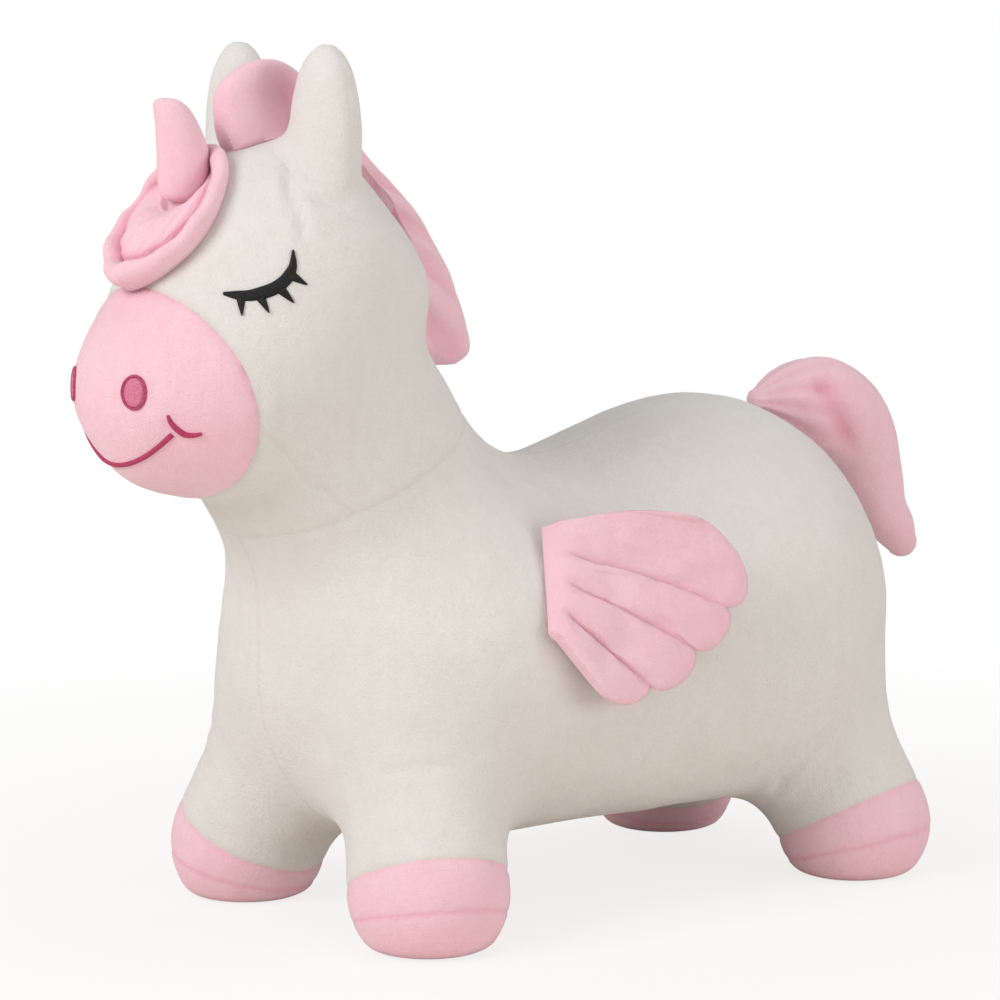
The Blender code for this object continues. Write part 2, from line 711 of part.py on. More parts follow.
def scored_half():
    """The left half with an edge along every seam."""
    bm = SKIN.copy()
    head = lambda p: beyond_collar(p) > 0
    body = lambda p: beyond_collar(p) <= 0
    score(bm, beyond_collar, lambda p: p[:, 0] > -1.0)
    score(bm, in_muzzle, head)
    score(bm, below_chin_seam, lambda p: head(p) & (in_muzzle(p) <= 0))
    score(bm, in_ear, lambda p: p[:, 2] > HEAD.z)
    score(bm, ear_front, lambda p: head(p) & (in_ear(p) > 0))
    for end in (-1, 1):
        leg = lambda p, end=end: body(p) & (in_leg(p, end) > 0)
        score(bm, lambda p, end=end: in_leg(p, end), body)
        score(bm, in_hoof, leg)
        score(bm, in_sole, leg)
    low = lambda p: p[:, 2] < 2.0 * BELLY_CLEARANCE
    score(bm, in_belly_panel, lambda p: low(p) & region_is(p, ("body_side", "belly_panel", "zip_opening")))
    score(bm, lambda p: ZIP_OPENING_HALF - p[:, 0], lambda p: region_is(p, ("belly_panel", "zip_opening")))
    return bm


def region_is(p, names):
    found = region(p)
    return np.isin(found.astype(str), names)


# Panels: faces of the skin, drawn in a little along their edges and given their thickness


def gathered(bm, keep):
    """Points, ways out and faces of the kept faces."""
    out = bm.verts.layers.float_vector["out"]
    index = {}
    points, ways, faces = [], [], []
    for face in bm.faces:
        if not keep[face.index]:
            continue
        for vertex in face.verts:
            if vertex not in index:
                index[vertex] = len(points)
                points.append(np.array(vertex.co))
                ways.append(np.array(vertex[out]))
        faces.append([index[vertex] for vertex in face.verts])
    return np.array(points), np.array(ways), faces


def border_of(faces):
    """Directed edges that only one face uses."""
    edges = set()
    for face in faces:
        edges |= set(zip(face, face[1:] + face[:1]))
    return sorted(edge for edge in edges if edge[::-1] not in edges)


def mirrored(points, ways, faces):
    """The same panel on the right side."""
    flip = np.array((-1.0, 1.0, 1.0))
    return points * flip, ways * flip, [face[::-1] for face in faces]


def both_halves(points, ways, faces):
    """The left panel and its mirror image, joined along the middle plane."""
    twin = {}
    all_points, all_ways = list(points), list(ways)
    for index, point in enumerate(points):
        if abs(point[0]) < TOUCH_GAP / 4.0:
            twin[index] = index
            continue
        twin[index] = len(all_points)
        all_points.append(point * (-1.0, 1.0, 1.0))
        all_ways.append(ways[index] * (-1.0, 1.0, 1.0))
    other = [[twin[index] for index in face][::-1] for face in faces]
    return np.array(all_points), np.array(all_ways), faces + other


def drawn_in(points, ways, faces, distance):
    """Points along the border moved into the panel, so that neighbours leave a seam gap."""
    pushes = {}
    for a, b in border_of(faces):
        along = points[b] - points[a]
        inward = np.cross(ways[a] + ways[b], along)
        inward = inward / np.linalg.norm(inward)
        for index in (a, b):
            pushes.setdefault(index, []).append(inward)
    moved = points.copy()
    for index, ins in pushes.items():
        total = sum(ins)
        spread = max(total @ total / len(ins) ** 2, 0.25)
        moved[index] = points[index] + total / len(ins) / spread * distance
    return moved


def layer(name, points, ways, faces, outer, inner):
    """A closed sheet between two depths under the skin."""
    count = len(points)
    top = points - ways * outer
    bottom = points - ways * inner
    walls = [[b, a, a + count, b + count] for a, b in border_of(faces)]
    under = [[index + count for index in face][::-1] for face in faces]
    mesh = mesh_from(name, np.concatenate([top, bottom]), faces + under + walls)
    bm = bmesh.new()
    bm.from_mesh(mesh)
    bmesh.ops.triangulate(bm, faces=bm.faces[:])
    bm.to_mesh(mesh)
    bm.free()
    return mesh


PANEL_SLOTS = {
    "body_side": "plush_white",
    "head_side": "plush_white",
    "ear_front": "plush_white",
    "ear_back": "plush_white",
    "belly_panel": "plush_white",
    "front_leg_cover": "plush_white",
    "hind_leg_cover": "plush_white",
    "front_hoof_band": "plush_pink",
    "hind_hoof_band": "plush_pink",
    "front_hoof_sole": "plush_pink",
    "hind_hoof_sole": "plush_pink",
}
MIDDLE_PANEL_SLOTS = {"muzzle": "plush_pink", "chin_gusset": "plush_white"}


def build_cover():
    bm = scored_half()
    bm.faces.index_update()
    names = region(np.array([face.calc_center_median() for face in bm.faces]))
    for panel, slot in PANEL_SLOTS.items():
        half = gathered(bm, names == panel)
        for side, piece in (("left", half), ("right", mirrored(*half))):
            points, ways, faces = piece
            points = drawn_in(points, ways, faces, SEAM_GAP / 2.0)
            name = f"{side}_{panel}"
            add_object(name, layer(name, points, ways, faces, 0.0, COVER_THICKNESS), slot)
    for panel, slot in MIDDLE_PANEL_SLOTS.items():
        points, ways, faces = both_halves(*gathered(bm, names == panel))
        points = drawn_in(points, ways, faces, SEAM_GAP / 2.0)
        add_object(panel, layer(panel, points, ways, faces, 0.0, COVER_THICKNESS), slot)
    bm.free()


def build_bladder():
    """The air-filled body inside the cover, open only where the valve's flange is welded in."""
    points, ways, faces = both_halves(*whole_half())
    inner = BLADDER_DEPTH + BLADDER_THICKNESS
    mesh = layer("air_bladder", points, ways, faces, BLADDER_DEPTH, inner)
    bladder = add_object("air_bladder", mesh, "bladder")
    hole = add_cutter("valve_hole", rod("valve_hole", VALVE_FLANGE_RADIUS + TOUCH_GAP, BARREL_HEIGHT, 32))
    hole.location = FEET
    subtract(bladder, hole)


def whole_half():
    return gathered(SKIN, np.ones(len(SKIN.faces), bool))


def rod(name, radius, length, sides):
    """A round bar standing on the origin."""
    bm = bmesh.new()
    place = Matrix.Translation((0.0, 0.0, length / 2.0))
    bmesh.ops.create_cone(
        bm, cap_ends=True, segments=sides, radius1=radius, radius2=radius, depth=length, matrix=place
    )
    return mesh_of(name, bm)


def skin_cutter(name, stand_off):
    """The whole animal as one solid, a little larger than its skin, to cut what sits on it."""
    points, ways, faces = both_halves(*whole_half())
    return add_cutter(name, mesh_from(name, points + ways * stand_off, faces))


# Turned and lofted pieces


def add_turned(name, profile, steps, slot):
    """A profile of (radius, height) pairs turned about the upright line between the feet."""
    mesh = bpy.data.meshes.new(name)
    edges = [(index, index + 1) for index in range(len(profile) - 1)]
    mesh.from_pydata([(radius, 0.0, height) for radius, height in profile], edges, [])
    mesh.update()
    obj = bpy.data.objects.new(name, mesh)
    PARTS.objects.link(obj)
    mesh.materials.append(material_named(slot))
    obj.location = FEET
    screw = obj.modifiers.new("turn", "SCREW")
    screw.axis = "Z"
    screw.angle = math.tau
    screw.steps = steps
    screw.render_steps = steps
    screw.use_merge_vertices = True
    screw.merge_threshold = 0.0001
    screw.use_smooth_shade = True
    return obj


def ring_faces(rings, count):
    """Faces of a closed tube of rings, each with count points, capped at both ends."""
    faces = []
    for ring in range(rings - 1):
        for step in range(count):
            a = ring * count + step
            b = ring * count + (step + 1) % count
            faces.append((a, b, b + count, a + count))
    faces.append(tuple(reversed(range(count))))
    faces.append(tuple(range((rings - 1) * count, rings * count)))
    return faces


def lofted(name, rings):
    """A closed solid through rings of points, facing out."""
    count = len(rings[0])
    mesh = mesh_from(name, [point for ring in rings for point in ring], ring_faces(len(rings), count))
    bm = bmesh.new()
    bm.from_mesh(mesh)
    bmesh.ops.triangulate(bm, faces=bm.faces[:], quad_method="FIXED")
    bmesh.ops.recalc_face_normals(bm, faces=bm.faces)
    bm.to_mesh(mesh)
    bm.free()
    return mesh


def smooth_line(points, count):
    """Evenly numbered points along a Catmull-Rom curve through the given ones."""
    points = [np.array(point, float) for point in points]
    points = [2 * points[0] - points[1]] + points + [2 * points[-1] - points[-2]]
    line = []
    spans = len(points) - 3
    for step in range(count):
        at = step * spans / (count - 1)
        span = min(int(at), spans - 1)
        t = at - span
        p0, p1, p2, p3 = points[span : span + 4]
        line.append(
            0.5
            * (
                2 * p1
                + (p2 - p0) * t
                + (2 * p0 - 5 * p1 + 4 * p2 - p3) * t * t
                + (3 * p1 - p0 - 3 * p2 + p3) * t**3
            )
        )
    return np.array(line)


def oval_ring(middle, along, across, rise, count):
    """An oval square to a way in the middle plane: across is its half width, rise its half height."""
    along = along / np.linalg.norm(along)
    up = np.array((0.0, -along[2], along[1]))
    ring = []
    for step in range(count):
        turn = math.tau * step / count
        ring.append(middle + np.array((across * math.cos(turn), 0.0, 0.0)) + up * (rise * math.sin(turn)))
    return ring


def stuffed_tube(path, radii, mouth, inset, count):
    """Rings from a rounded tip, back down a path, round a ball at its start to a mouth."""
    rings = []
    tip = path[-1] - path[-2]
    tip = tip / np.linalg.norm(tip)
    end = radii[-1] - inset
    for degrees in (72.0, 36.0):
        turn = math.radians(degrees)
        size = end * math.cos(turn)
        rings.append(oval_ring(path[-1] + tip * end * math.sin(turn), tip, size, size, count))
    for index in range(len(path) - 1, 0, -1):
        along = path[min(index + 1, len(path) - 1)] - path[index - 1]
        size = radii[index] - inset
        rings.append(oval_ring(path[index], along, size, size, count))
    start = path[1] - path[0]
    start = start / np.linalg.norm(start)
    ball = radii[0] - inset
    lowest = math.acos(min(mouth / ball, 1.0))
    for step in range(5):
        turn = lowest * step / 4.0
        size = ball * math.cos(turn)
        rings.append(oval_ring(path[0] - start * ball * math.sin(turn), start, size, size, count))
    return rings


def build_stuffed(name, path, radii, mouth, count):
    """A cover open at its sewn root, and the stuffing inside it."""
    outer = stuffed_tube(path, radii, mouth, 0.0, count)
    inner = stuffed_tube(path, radii, mouth, STUFFED_WALL, count)
    add_object(name + "_cover", lofted(name + "_cover", outer + inner[::-1]), "plush_pink")
    filling = stuffed_tube(path, radii, mouth / 2.0, STUFFED_WALL + 2.0 * TOUCH_GAP, count)
    add_object(name + "_stuffing", lofted(name + "_stuffing", filling), "filling")


# Horn

HORN_BEND_SHARES = ((0.0, 0.0), (-0.05, 0.25), (0.05, 0.50), (0.28, 0.78), (0.62, 1.0))
HORN_RADIUS_SHARES = (1.0, 0.98, 0.86, 0.56, 0.10)


def horn_pivot():
    turn = math.radians(HORN_PLACE_DEGREES)
    foot, way = cast(HEAD, (0.0, -math.sin(turn), math.cos(turn)))
    return foot + way * (HORN_ROOT_RADIUS + HORN_ROCK_CLEARANCE)


def build_horn():
    pivot = horn_pivot()
    path = [pivot + Vector((0.0, -HORN_BEND * bend, HORN_HEIGHT * rise)) for bend, rise in HORN_BEND_SHARES]
    radii = [HORN_TIP_RADIUS + (HORN_ROOT_RADIUS - HORN_TIP_RADIUS) * share for share in HORN_RADIUS_SHARES]
    build_stuffed("horn", [np.array(point) for point in path], radii, HORN_MOUTH_RADIUS, 14)
    lean = math.tan(math.radians(HORN_ROCK_DEGREES))
    flare = [np.array(pivot + Vector((0.0, 0.0, HORN_HEIGHT * share))) for share in (0.0, 0.5, 1.0)]
    radius = 1.03 * HORN_ROOT_RADIUS + HORN_ROCK_CLEARANCE
    sizes = [radius + HORN_HEIGHT * share * lean for share in (0.0, 0.5, 1.0)]
    return add_cutter("horn_socket", lofted("horn_socket", stuffed_tube(flare, sizes, TOUCH_GAP, 0.0, 24)))


# Forelock


def build_forelock(socket):
    """A dished leaf: rings of points carried out from the head's middle onto the forehead."""
    turn = math.radians(FORELOCK_PLACE_DEGREES)
    way = np.array((0.0, -math.sin(turn), math.cos(turn)))
    down = np.array((0.0, -math.cos(turn), -math.sin(turn)))
    count = 18
    rim = FORELOCK_RIM_WIDTH / FORELOCK_HALF_WIDTH
    under = [(0.15, 0.0), (0.6, 0.0), (1.0 - 0.35 * rim, 0.0)]
    over = [
        (1.0, FORELOCK_RIM_HEIGHT * 0.45),
        (1.0 - 0.2 * rim, FORELOCK_RIM_HEIGHT * 0.85),
        (1.0 - 0.5 * rim, FORELOCK_RIM_HEIGHT),
        (1.0 - 0.85 * rim, FORELOCK_RIM_HEIGHT * 0.8),
        (1.0 - 1.1 * rim, FORELOCK_PAD * 0.75),
        (0.42, FORELOCK_PAD),
        (0.15, FORELOCK_PAD),
    ]
    rings = []
    for share, rise in under + over:
        ring = []
        for step in range(count):
            angle = math.tau * step / count
            drop = FORELOCK_HALF_LENGTH * share * math.sin(angle)
            taper = 1.0 - 0.22 * max(math.sin(angle), 0.0) ** 2
            side = FORELOCK_HALF_WIDTH * share * math.cos(angle) * taper
            foot, out = cast(HEAD, way * HEAD_HALF_HEIGHT + np.array((side, 0.0, 0.0)) + down * drop)
            lip = FORELOCK_LIP * max(math.sin(angle), 0.0) * share * rise / FORELOCK_RIM_HEIGHT
            ring.append(foot + out * (rise + lip + 3.0 * TOUCH_GAP))
        rings.append(ring)
    leaf = add_object("forelock", lofted("forelock", rings), "plush_pink")
    subtract(leaf, socket)


# Mane

# Along the crest, its rise and its half width, each as a share of the mane's
MANE_CREST_SHARES = (
    (0.00, 0.30, 0.45),
    (0.03, 0.60, 0.80),
    (0.09, 0.74, 1.00),
    (0.16, 0.76, 1.00),
    (0.22, 0.62, 0.95),
    (0.30, 0.36, 0.85),
    (0.40, 0.20, 0.80),
    (0.50, 0.17, 0.80),
    (0.62, 0.26, 0.85),
    (0.74, 0.42, 0.95),
    (0.85, 0.68, 1.00),
    (0.91, 0.86, 0.95),
    (0.95, 0.92, 0.88),
    (0.98, 0.70, 0.72),
    (1.00, 0.32, 0.45),
)
MANE_PROFILE_SHARES = ((1.0, -1.0), (1.0, 0.35), (0.92, 0.72), (0.55, 0.94), (0.0, 1.0))


def mane_rings(inset):
    """Rings square to the crest from its front to its lower end, all drawn in by inset."""
    crest = np.array(MANE_CREST_SHARES)
    sweep = math.radians(MANE_START_DEGREES + MANE_END_DEGREES)
    trim = inset / (sweep * HEAD_HALF_HEIGHT)
    rings = []
    for place, tall, wide in crest:
        share = trim + (1.0 - 2.0 * trim) * place
        turn = sweep * share - math.radians(MANE_START_DEGREES)
        way = Vector((0.0, math.sin(turn), math.cos(turn)))
        foot, _ = cast(HEAD, way)
        rise = MANE_HEIGHT * tall - inset
        half = MANE_HALF_WIDTH * wide - inset
        profile = list(MANE_PROFILE_SHARES) + [(-x, z) for x, z in MANE_PROFILE_SHARES[-2::-1]]
        ring = []
        for x, z in profile:
            height = -MANE_SUNK if z < 0.0 else rise * z
            ring.append(np.array(foot + way * height) + np.array((half * x, 0.0, 0.0)))
        rings.append(ring)
    return rings


def build_mane(animal):
    cover = add_object("mane_cover", lofted("mane_cover", mane_rings(0.0)), "plush_pink")
    subtract(cover, add_cutter("mane_hollow", lofted("mane_hollow", mane_rings(STUFFED_WALL))))
    subtract(cover, animal)
    inset = STUFFED_WALL + 2.0 * TOUCH_GAP
    filling = add_object("mane_stuffing", lofted("mane_stuffing", mane_rings(inset)), "filling")
    subtract(filling, animal)


# Tail

TAIL_PATH_SHARES = (
    (0.0, 0.0),
    (0.165, 0.005),
    (0.350, -0.020),
    (0.530, -0.095),
    (0.680, -0.240),
    (0.770, -0.425),
    (0.835, -0.590),
    (0.915, -0.704),
    (0.970, -0.780),
)
TAIL_RADIUS_SHARES = (0.0, 0.66, 1.0, 1.08, 1.02, 0.84, 0.62, 0.52, 0.38)


def tail_pivot():
    turn = math.radians(TAIL_PLACE_DEGREES)
    foot, way = cast(RUMP, (0.0, math.cos(turn), math.sin(turn)))
    return foot + way * (TAIL_ROOT_RADIUS + TAIL_CLEARANCE)


def build_tail():
    pivot = tail_pivot()
    places = [pivot + Vector((0.0, TAIL_LENGTH * y, TAIL_LENGTH * z)) for y, z in TAIL_PATH_SHARES]
    radii = [max(TAIL_RADIUS * share, TAIL_ROOT_RADIUS) for share in TAIL_RADIUS_SHARES]
    path = smooth_line(places, 11)
    sizes = smooth_line([(radius, 0.0, 0.0) for radius in radii], 11)[:, 0]
    build_stuffed("tail", list(path), list(sizes), TAIL_MOUTH_RADIUS, 10)


# Wings


def flank(y, z):
    """Half the animal's width at a height and length along it, on the left, or none past its outline."""
    across = np.arange(0.0, 1.2 * BARREL_HALF_WIDTH, TOUCH_GAP)
    inside = skin(np.stack([across, np.full_like(across, y), np.full_like(across, z)], 1)) < 0.0
    return across[inside].max(initial=0.0)


# Where the feathers part and where each is longest, from the root's top, as shares of the wing's length
WING_PARTING_SHARES = ((0.785, -0.007), (0.815, -0.415), (0.602, -0.589), (0.340, -0.746), (0.059, -0.728))
WING_FEATHER_SHARES = ((0.980, -0.193), (0.789, -0.573), (0.550, -0.742), (0.183, -0.821))
WING_ROOT_SHARE = (-0.145, -0.431)
# How far the wadding stops short of the rim, as a share of its depth under the faces
WING_RIM_SHARE = 3.2


def wing_root():
    """Top and bottom of the left wing's sewn edge, standing just clear of the flank."""
    top = CHEST + Vector((0.0, WING_ROOT_BEHIND, WING_ROOT_RISE))
    bottom = top + Vector((0.0, WING_ROOT_SHARE[0], WING_ROOT_SHARE[1])) * WING_LENGTH
    ends = []
    for place in (top, bottom):
        point, way = cast(place, (1.0, 0.0, 0.0))
        ends.append(point + way * (WING_ROOT_RADIUS + WING_ROOT_CLEARANCE))
    return ends


def feather_end(root, v):
    """The tip line's (y, z) at v from the top feather to the bottom one: each feather is half an oval."""
    count = len(WING_FEATHER_SHARES)
    index = min(int(v * count), count - 1)
    turn = math.pi * (v * count - index)
    first, last = np.array(WING_PARTING_SHARES[index]), np.array(WING_PARTING_SHARES[index + 1])
    middle = (first + last) / 2.0
    longest = np.array(WING_FEATHER_SHARES[index]) - middle
    share = middle + (first - last) / 2.0 * math.cos(turn) + longest * math.sin(turn)
    return root.y + share[0] * WING_LENGTH, root.z + share[1] * WING_LENGTH


def wing_point(top, bottom, u, v):
    """The left wing's middle and half thickness, u of the way out and v from top to bottom."""
    root = top.lerp(bottom, v)
    end_y, end_z = feather_end(top, v)
    bulge = WING_BULGE * math.sin(math.pi * u) * (1.0 - v) ** 2
    y = root.y + u * (end_y - root.y)
    z = root.z + u * (end_z - root.z) + bulge
    puff = abs(math.sin(math.pi * len(WING_FEATHER_SHARES) * v)) ** 0.6
    edge = WING_EDGE_THICKNESS / 2.0
    half = edge + (WING_THICKNESS / 2.0 - edge) * puff * math.sin(math.pi * u) ** 0.5
    if u == 0.0:
        return np.array(root), half
    spread = root.x + (BARREL_HALF_WIDTH + WING_TIP_OUT - root.x) * u**0.8
    return np.array((max(spread, flank(y, z) + half + WING_ROOT_CLEARANCE / 2.0), y, z)), half


def wing_grid(rows, columns):
    """Middles, ways out and half thicknesses of the left wing, by rows from root to tip."""
    top, bottom = wing_root()
    middles, halves = np.zeros((rows, columns, 3)), np.zeros((rows, columns))
    for row in range(rows):
        for column in range(columns):
            middle, half = wing_point(top, bottom, row / (rows - 1), column / (columns - 1))
            middles[row, column], halves[row, column] = middle, half
    ways = np.cross(np.gradient(middles, axis=0), np.gradient(middles, axis=1))
    ways = ways / np.linalg.norm(ways, axis=2)[:, :, None]
    return middles, ways * np.sign(ways[:, :, :1]), halves


def wing_mesh(name, grid, inset, root_inset):
    """The left wing drawn in by inset on both faces and round its edge, and by root_inset at its root."""
    middles, ways, halves = grid
    rows, columns = halves.shape
    middles = middles.copy()
    for line, inner, depth in ((0, 1, root_inset), (-1, -2, WING_RIM_SHARE * inset)):
        step = middles[inner] - middles[line]
        middles[line] += step / np.linalg.norm(step, axis=1)[:, None] * depth
    for line, inner in ((0, 1), (-1, -2)):
        step = middles[:, inner] - middles[:, line]
        middles[:, line] += step / np.linalg.norm(step, axis=1)[:, None] * WING_RIM_SHARE * inset
    lift = ways * (halves - inset)[:, :, None]
    points = np.concatenate([(middles + lift).reshape(-1, 3), (middles - lift).reshape(-1, 3)])
    count = rows * columns
    faces = []
    for row in range(rows - 1):
        for column in range(columns - 1):
            a = row * columns + column
            b, c, d = a + 1, a + columns + 1, a + columns
            faces.append((a, b, c, d))
            faces.append((a + count, d + count, c + count, b + count))
    rim = list(range(columns))
    rim += [row * columns + columns - 1 for row in range(1, rows)]
    rim += [(rows - 1) * columns + column for column in range(columns - 2, -1, -1)]
    rim += [row * columns for row in range(rows - 2, 0, -1)]
    faces += [(b, a, a + count, b + count) for a, b in zip(rim, rim[1:] + rim[:1])]
    bm = bmesh.new()
    bm.from_mesh(mesh_from(name, points, faces))
    bmesh.ops.triangulate(bm, faces=bm.faces[:], quad_method="FIXED")
    return mesh_of(name, bm)


def build_wings():
    grid = wing_grid(6, 13)
    past_root = 2.0 * WING_FABRIC
    shell = wing_mesh("wing_shell", grid, 0.0, 0.0)
    hollow = wing_mesh("wing_hollow", grid, WING_FABRIC, -past_root)
    wadding = wing_mesh("wing_wadding", grid, WING_FABRIC + 2.0 * TOUCH_GAP, past_root + 2.0 * TOUCH_GAP)
    for side, word in ((1, "left"), (-1, "right")):
        flip = Matrix.Diagonal((side, 1.0, 1.0, 1.0))
        cover = add_object(word + "_wing_cover", flipped_copy(shell, flip), "plush_pink")
        subtract(cover, add_cutter(word + "_wing_hollow", flipped_copy(hollow, flip)), "MANIFOLD")
        add_object(word + "_wing_wadding", flipped_copy(wadding, flip), "filling")


# Embroidery


def strip(name, line, halves):
    """A raised band of stitches along points on the skin; halves is its half width at each."""
    points = onto_skin(line)
    ways = outward(points)[1]
    along = np.gradient(points, axis=0)
    across = np.cross(ways, along)
    across = across / np.linalg.norm(across, axis=1)[:, None]
    halves = np.array(halves)[:, None]
    rings = []
    low, high = 2.0 * TOUCH_GAP, 2.0 * TOUCH_GAP + STITCH_RAISE
    for index in range(len(points)):
        a = onto_skin(points[index : index + 1] + across[index] * halves[index])[0]
        b = onto_skin(points[index : index + 1] - across[index] * halves[index])[0]
        lift = ways[index]
        rings.append([a + lift * low, b + lift * low, b + lift * high, a + lift * high])
    return lofted(name, rings)


def eye_line(count):
    """The closed lid's arc on the left side of the head, front corner to back corner."""
    ahead, rise = EYE_FRONT_SHARES
    front = HEAD + Vector((HEAD_HALF_WIDTH, -HEAD_HALF_LENGTH * ahead, HEAD_HALF_HEIGHT * rise))
    back = front + Vector((0.0, *EYE_BACK_SHARES)) * EYE_WIDTH
    corner = front + Vector((0.0, *EYE_DIP_SHARES)) * EYE_WIDTH
    line = []
    for share in np.linspace(0.0, 1.0, count):
        line.append(front * (1 - share) ** 2 + corner * 2 * share * (1 - share) + back * share**2)
    return side_projected(line)


def side_projected(line):
    """Each (any, y, z) point carried sideways onto the left of the skin."""
    return [cast((0.0, point[1], point[2]), (1.0, 0.0, 0.0))[0] for point in line]


def build_eyes():
    line = eye_line(9)
    shares = np.linspace(0.0, 1.0, len(line))
    lid = strip("left_eye", line, EYE_BAND / 2.0 * (0.30 + 0.70 * np.sin(math.pi * (0.04 + 0.92 * shares))))
    lashes = []
    for index, (share, long, lean) in enumerate(LASH_SHARES):
        at = Vector(smooth_line(line, 101)[int(share * 100)])
        way = Vector((0.0, 0.65 * lean, -1.0 + 0.55 * lean)).normalized()
        reach = [at + way * (LASH_LENGTH * long * step / 2.0) for step in range(3)]
        widths = [EYE_BAND * part for part in LASH_WIDTH_SHARES]
        lashes.append(strip(f"lash_{index}", side_projected(reach), widths))
    for side, word in ((1, "left"), (-1, "right")):
        flip = Matrix.Diagonal((side, 1.0, 1.0, 1.0))
        eye = add_object(word + "_eye", flipped_copy(lid, flip), "thread_black")
        for index, lash in enumerate(lashes):
            unite(eye, add_cutter(f"{word}_lash_{index}", flipped_copy(lash, flip)))


def flipped_copy(mesh, matrix):
    copy = mesh.copy()
    copy.transform(matrix)
    if matrix.determinant() < 0:
        copy.flip_normals()
    return copy


def build_nostrils():
    middle = MUZZLE + Vector((NOSTRIL_SIDE, 0.0, NOSTRIL_ABOVE_MUZZLE))
    count = 12
    rings = []
    foot, way = cast((middle.x, middle.y, middle.z), (0.0, -1.0, 0.0))
    across = Vector((1.0, 0.0, 0.0)) - way * way.x
    across.normalize()
    up = way.cross(across)
    for share, lift in ((0.15, 0.0), (1.0, 0.0), (1.0, 0.75), (0.8, 1.0), (0.15, 1.0)):
        ring = []
        for step in range(count):
            turn = math.tau * step / count
            aim = foot + across * (NOSTRIL_HALF_WIDTH * share * math.cos(turn))
            aim = aim + up * (NOSTRIL_HALF_HEIGHT * share * math.sin(turn))
            stand_off = 2.0 * TOUCH_GAP + STITCH_RAISE * lift
            ring.append(np.array(onto_skin([aim])[0]) + np.array(way) * stand_off)
        rings.append(ring)
    mesh = lofted("left_nostril", rings)
    for side, word in ((1, "left"), (-1, "right")):
        flip = Matrix.Diagonal((side, 1.0, 1.0, 1.0))
        add_object(word + "_nostril", flipped_copy(mesh, flip), "thread_magenta")


def build_mouth():
    line = []
    for share in np.linspace(-1.0, 1.0, 17):
        x = MOUTH_HALF_WIDTH * share
        z = MUZZLE.z - MOUTH_DROP * (1.0 - MOUTH_CURL_SHARE * share * share)
        line.append(cast((x, MUZZLE.y, z), (0.0, -1.0, 0.0))[0])
    mouth = add_object("mouth", strip("mouth", line, [MOUTH_BAND / 2.0] * len(line)), "thread_magenta")
    for side in (-1, 1):
        tick = []
        for share in np.linspace(0.0, 1.0, 6):
            x = side * (MOUTH_HALF_WIDTH + TICK_LENGTH * (TICK_REACH_SHARE * share**2 - TICK_START_SHARE))
            level = TICK_LEVEL_SHARES[0] + TICK_LEVEL_SHARES[1] * share + TICK_LEVEL_SHARES[2] * share**2
            z = MUZZLE.z - (1.0 - MOUTH_CURL_SHARE) * MOUTH_DROP + TICK_LENGTH * level
            tick.append(cast((x, MUZZLE.y, z), (0.0, -1.0, 0.0))[0])
        widths = [MOUTH_BAND * part for part in TICK_WIDTH_SHARES]
        unite(mouth, add_cutter(f"tick_{side}", strip(f"tick_{side}", tick, widths)))


# Zip and valve


def box_mesh(name, low, high):
    bm = bmesh.new()
    bmesh.ops.create_cube(bm, size=1.0)
    size = Vector(high) - Vector(low)
    place = Matrix.Translation((Vector(high) + Vector(low)) / 2.0) @ Matrix.Diagonal((*size, 1.0))
    bmesh.ops.transform(bm, matrix=place, verts=bm.verts)
    return mesh_of(name, bm)


def belly_level():
    """Height of the belly's lowest middle stretch, where the zip lies."""
    stretch = np.linspace(FEET.y - TAPE_HALF_LENGTH, FEET.y + TAPE_HALF_LENGTH, 9)
    heights = [cast((0.0, y, BARREL_HEIGHT), (0.0, 0.0, -1.0))[0].z for y in stretch]
    return min(heights), max(heights)


def build_zip():
    _, high = belly_level()
    tape_low = high + COVER_THICKNESS + 3.0 * TOUCH_GAP
    tape_high = tape_low + TAPE_THICKNESS
    coil_low = tape_high - COIL_THICKNESS
    half = COIL_WIDTH / 2.0
    for side, word in ((1, "left"), (-1, "right")):
        name = word + "_zip_tape"
        near, far = sorted((side * (half + TOUCH_GAP), side * (half + TOUCH_GAP + TAPE_WIDTH)))
        mesh = box_mesh(name, (near, ZIP_FRONT, tape_low), (far, ZIP_REAR, tape_high))
        add_object(name, mesh, "zip_tape")
    low, far = (-half, ZIP_FRONT, coil_low + COIL_THICKNESS / 2.0), (half, ZIP_REAR, tape_high)
    coil = add_object("zip_coil", box_mesh("zip_coil", low, far), "zip_tape")
    half_tooth = COIL_TOOTH_PITCH / 4.0
    for index in range(int(2.0 * TAPE_HALF_LENGTH / COIL_TOOTH_PITCH)):
        middle = ZIP_FRONT + (index + 0.5) * COIL_TOOTH_PITCH
        low = (-half + TOUCH_GAP, middle - half_tooth, coil_low)
        far = (half - TOUCH_GAP, middle + half_tooth, tape_high - TOUCH_GAP)
        unite(coil, add_cutter(f"tooth_{index}", box_mesh(f"tooth_{index}", low, far)))
    for word, y, away in (("front", ZIP_FRONT, -1.0), ("rear", ZIP_REAR, 1.0)):
        name = word + "_zip_stop"
        near, far = sorted((y + away * TOUCH_GAP, y + away * (TOUCH_GAP + STOP_LENGTH)))
        add_object(name, box_mesh(name, (-half, near, coil_low), (half, far, tape_high)), "zip_metal")
    build_slider(coil_low)


def cross_rod(name, radius, length, place, sides=12):
    """A round bar lying along X with its middle at a place."""
    bar = rod(name, radius, length, sides)
    bar.transform(Matrix.Rotation(math.pi / 2.0, 4, "Y") @ Matrix.Translation((0.0, 0.0, -length / 2.0)))
    cutter = add_cutter(name, bar)
    cutter.location = place
    return cutter


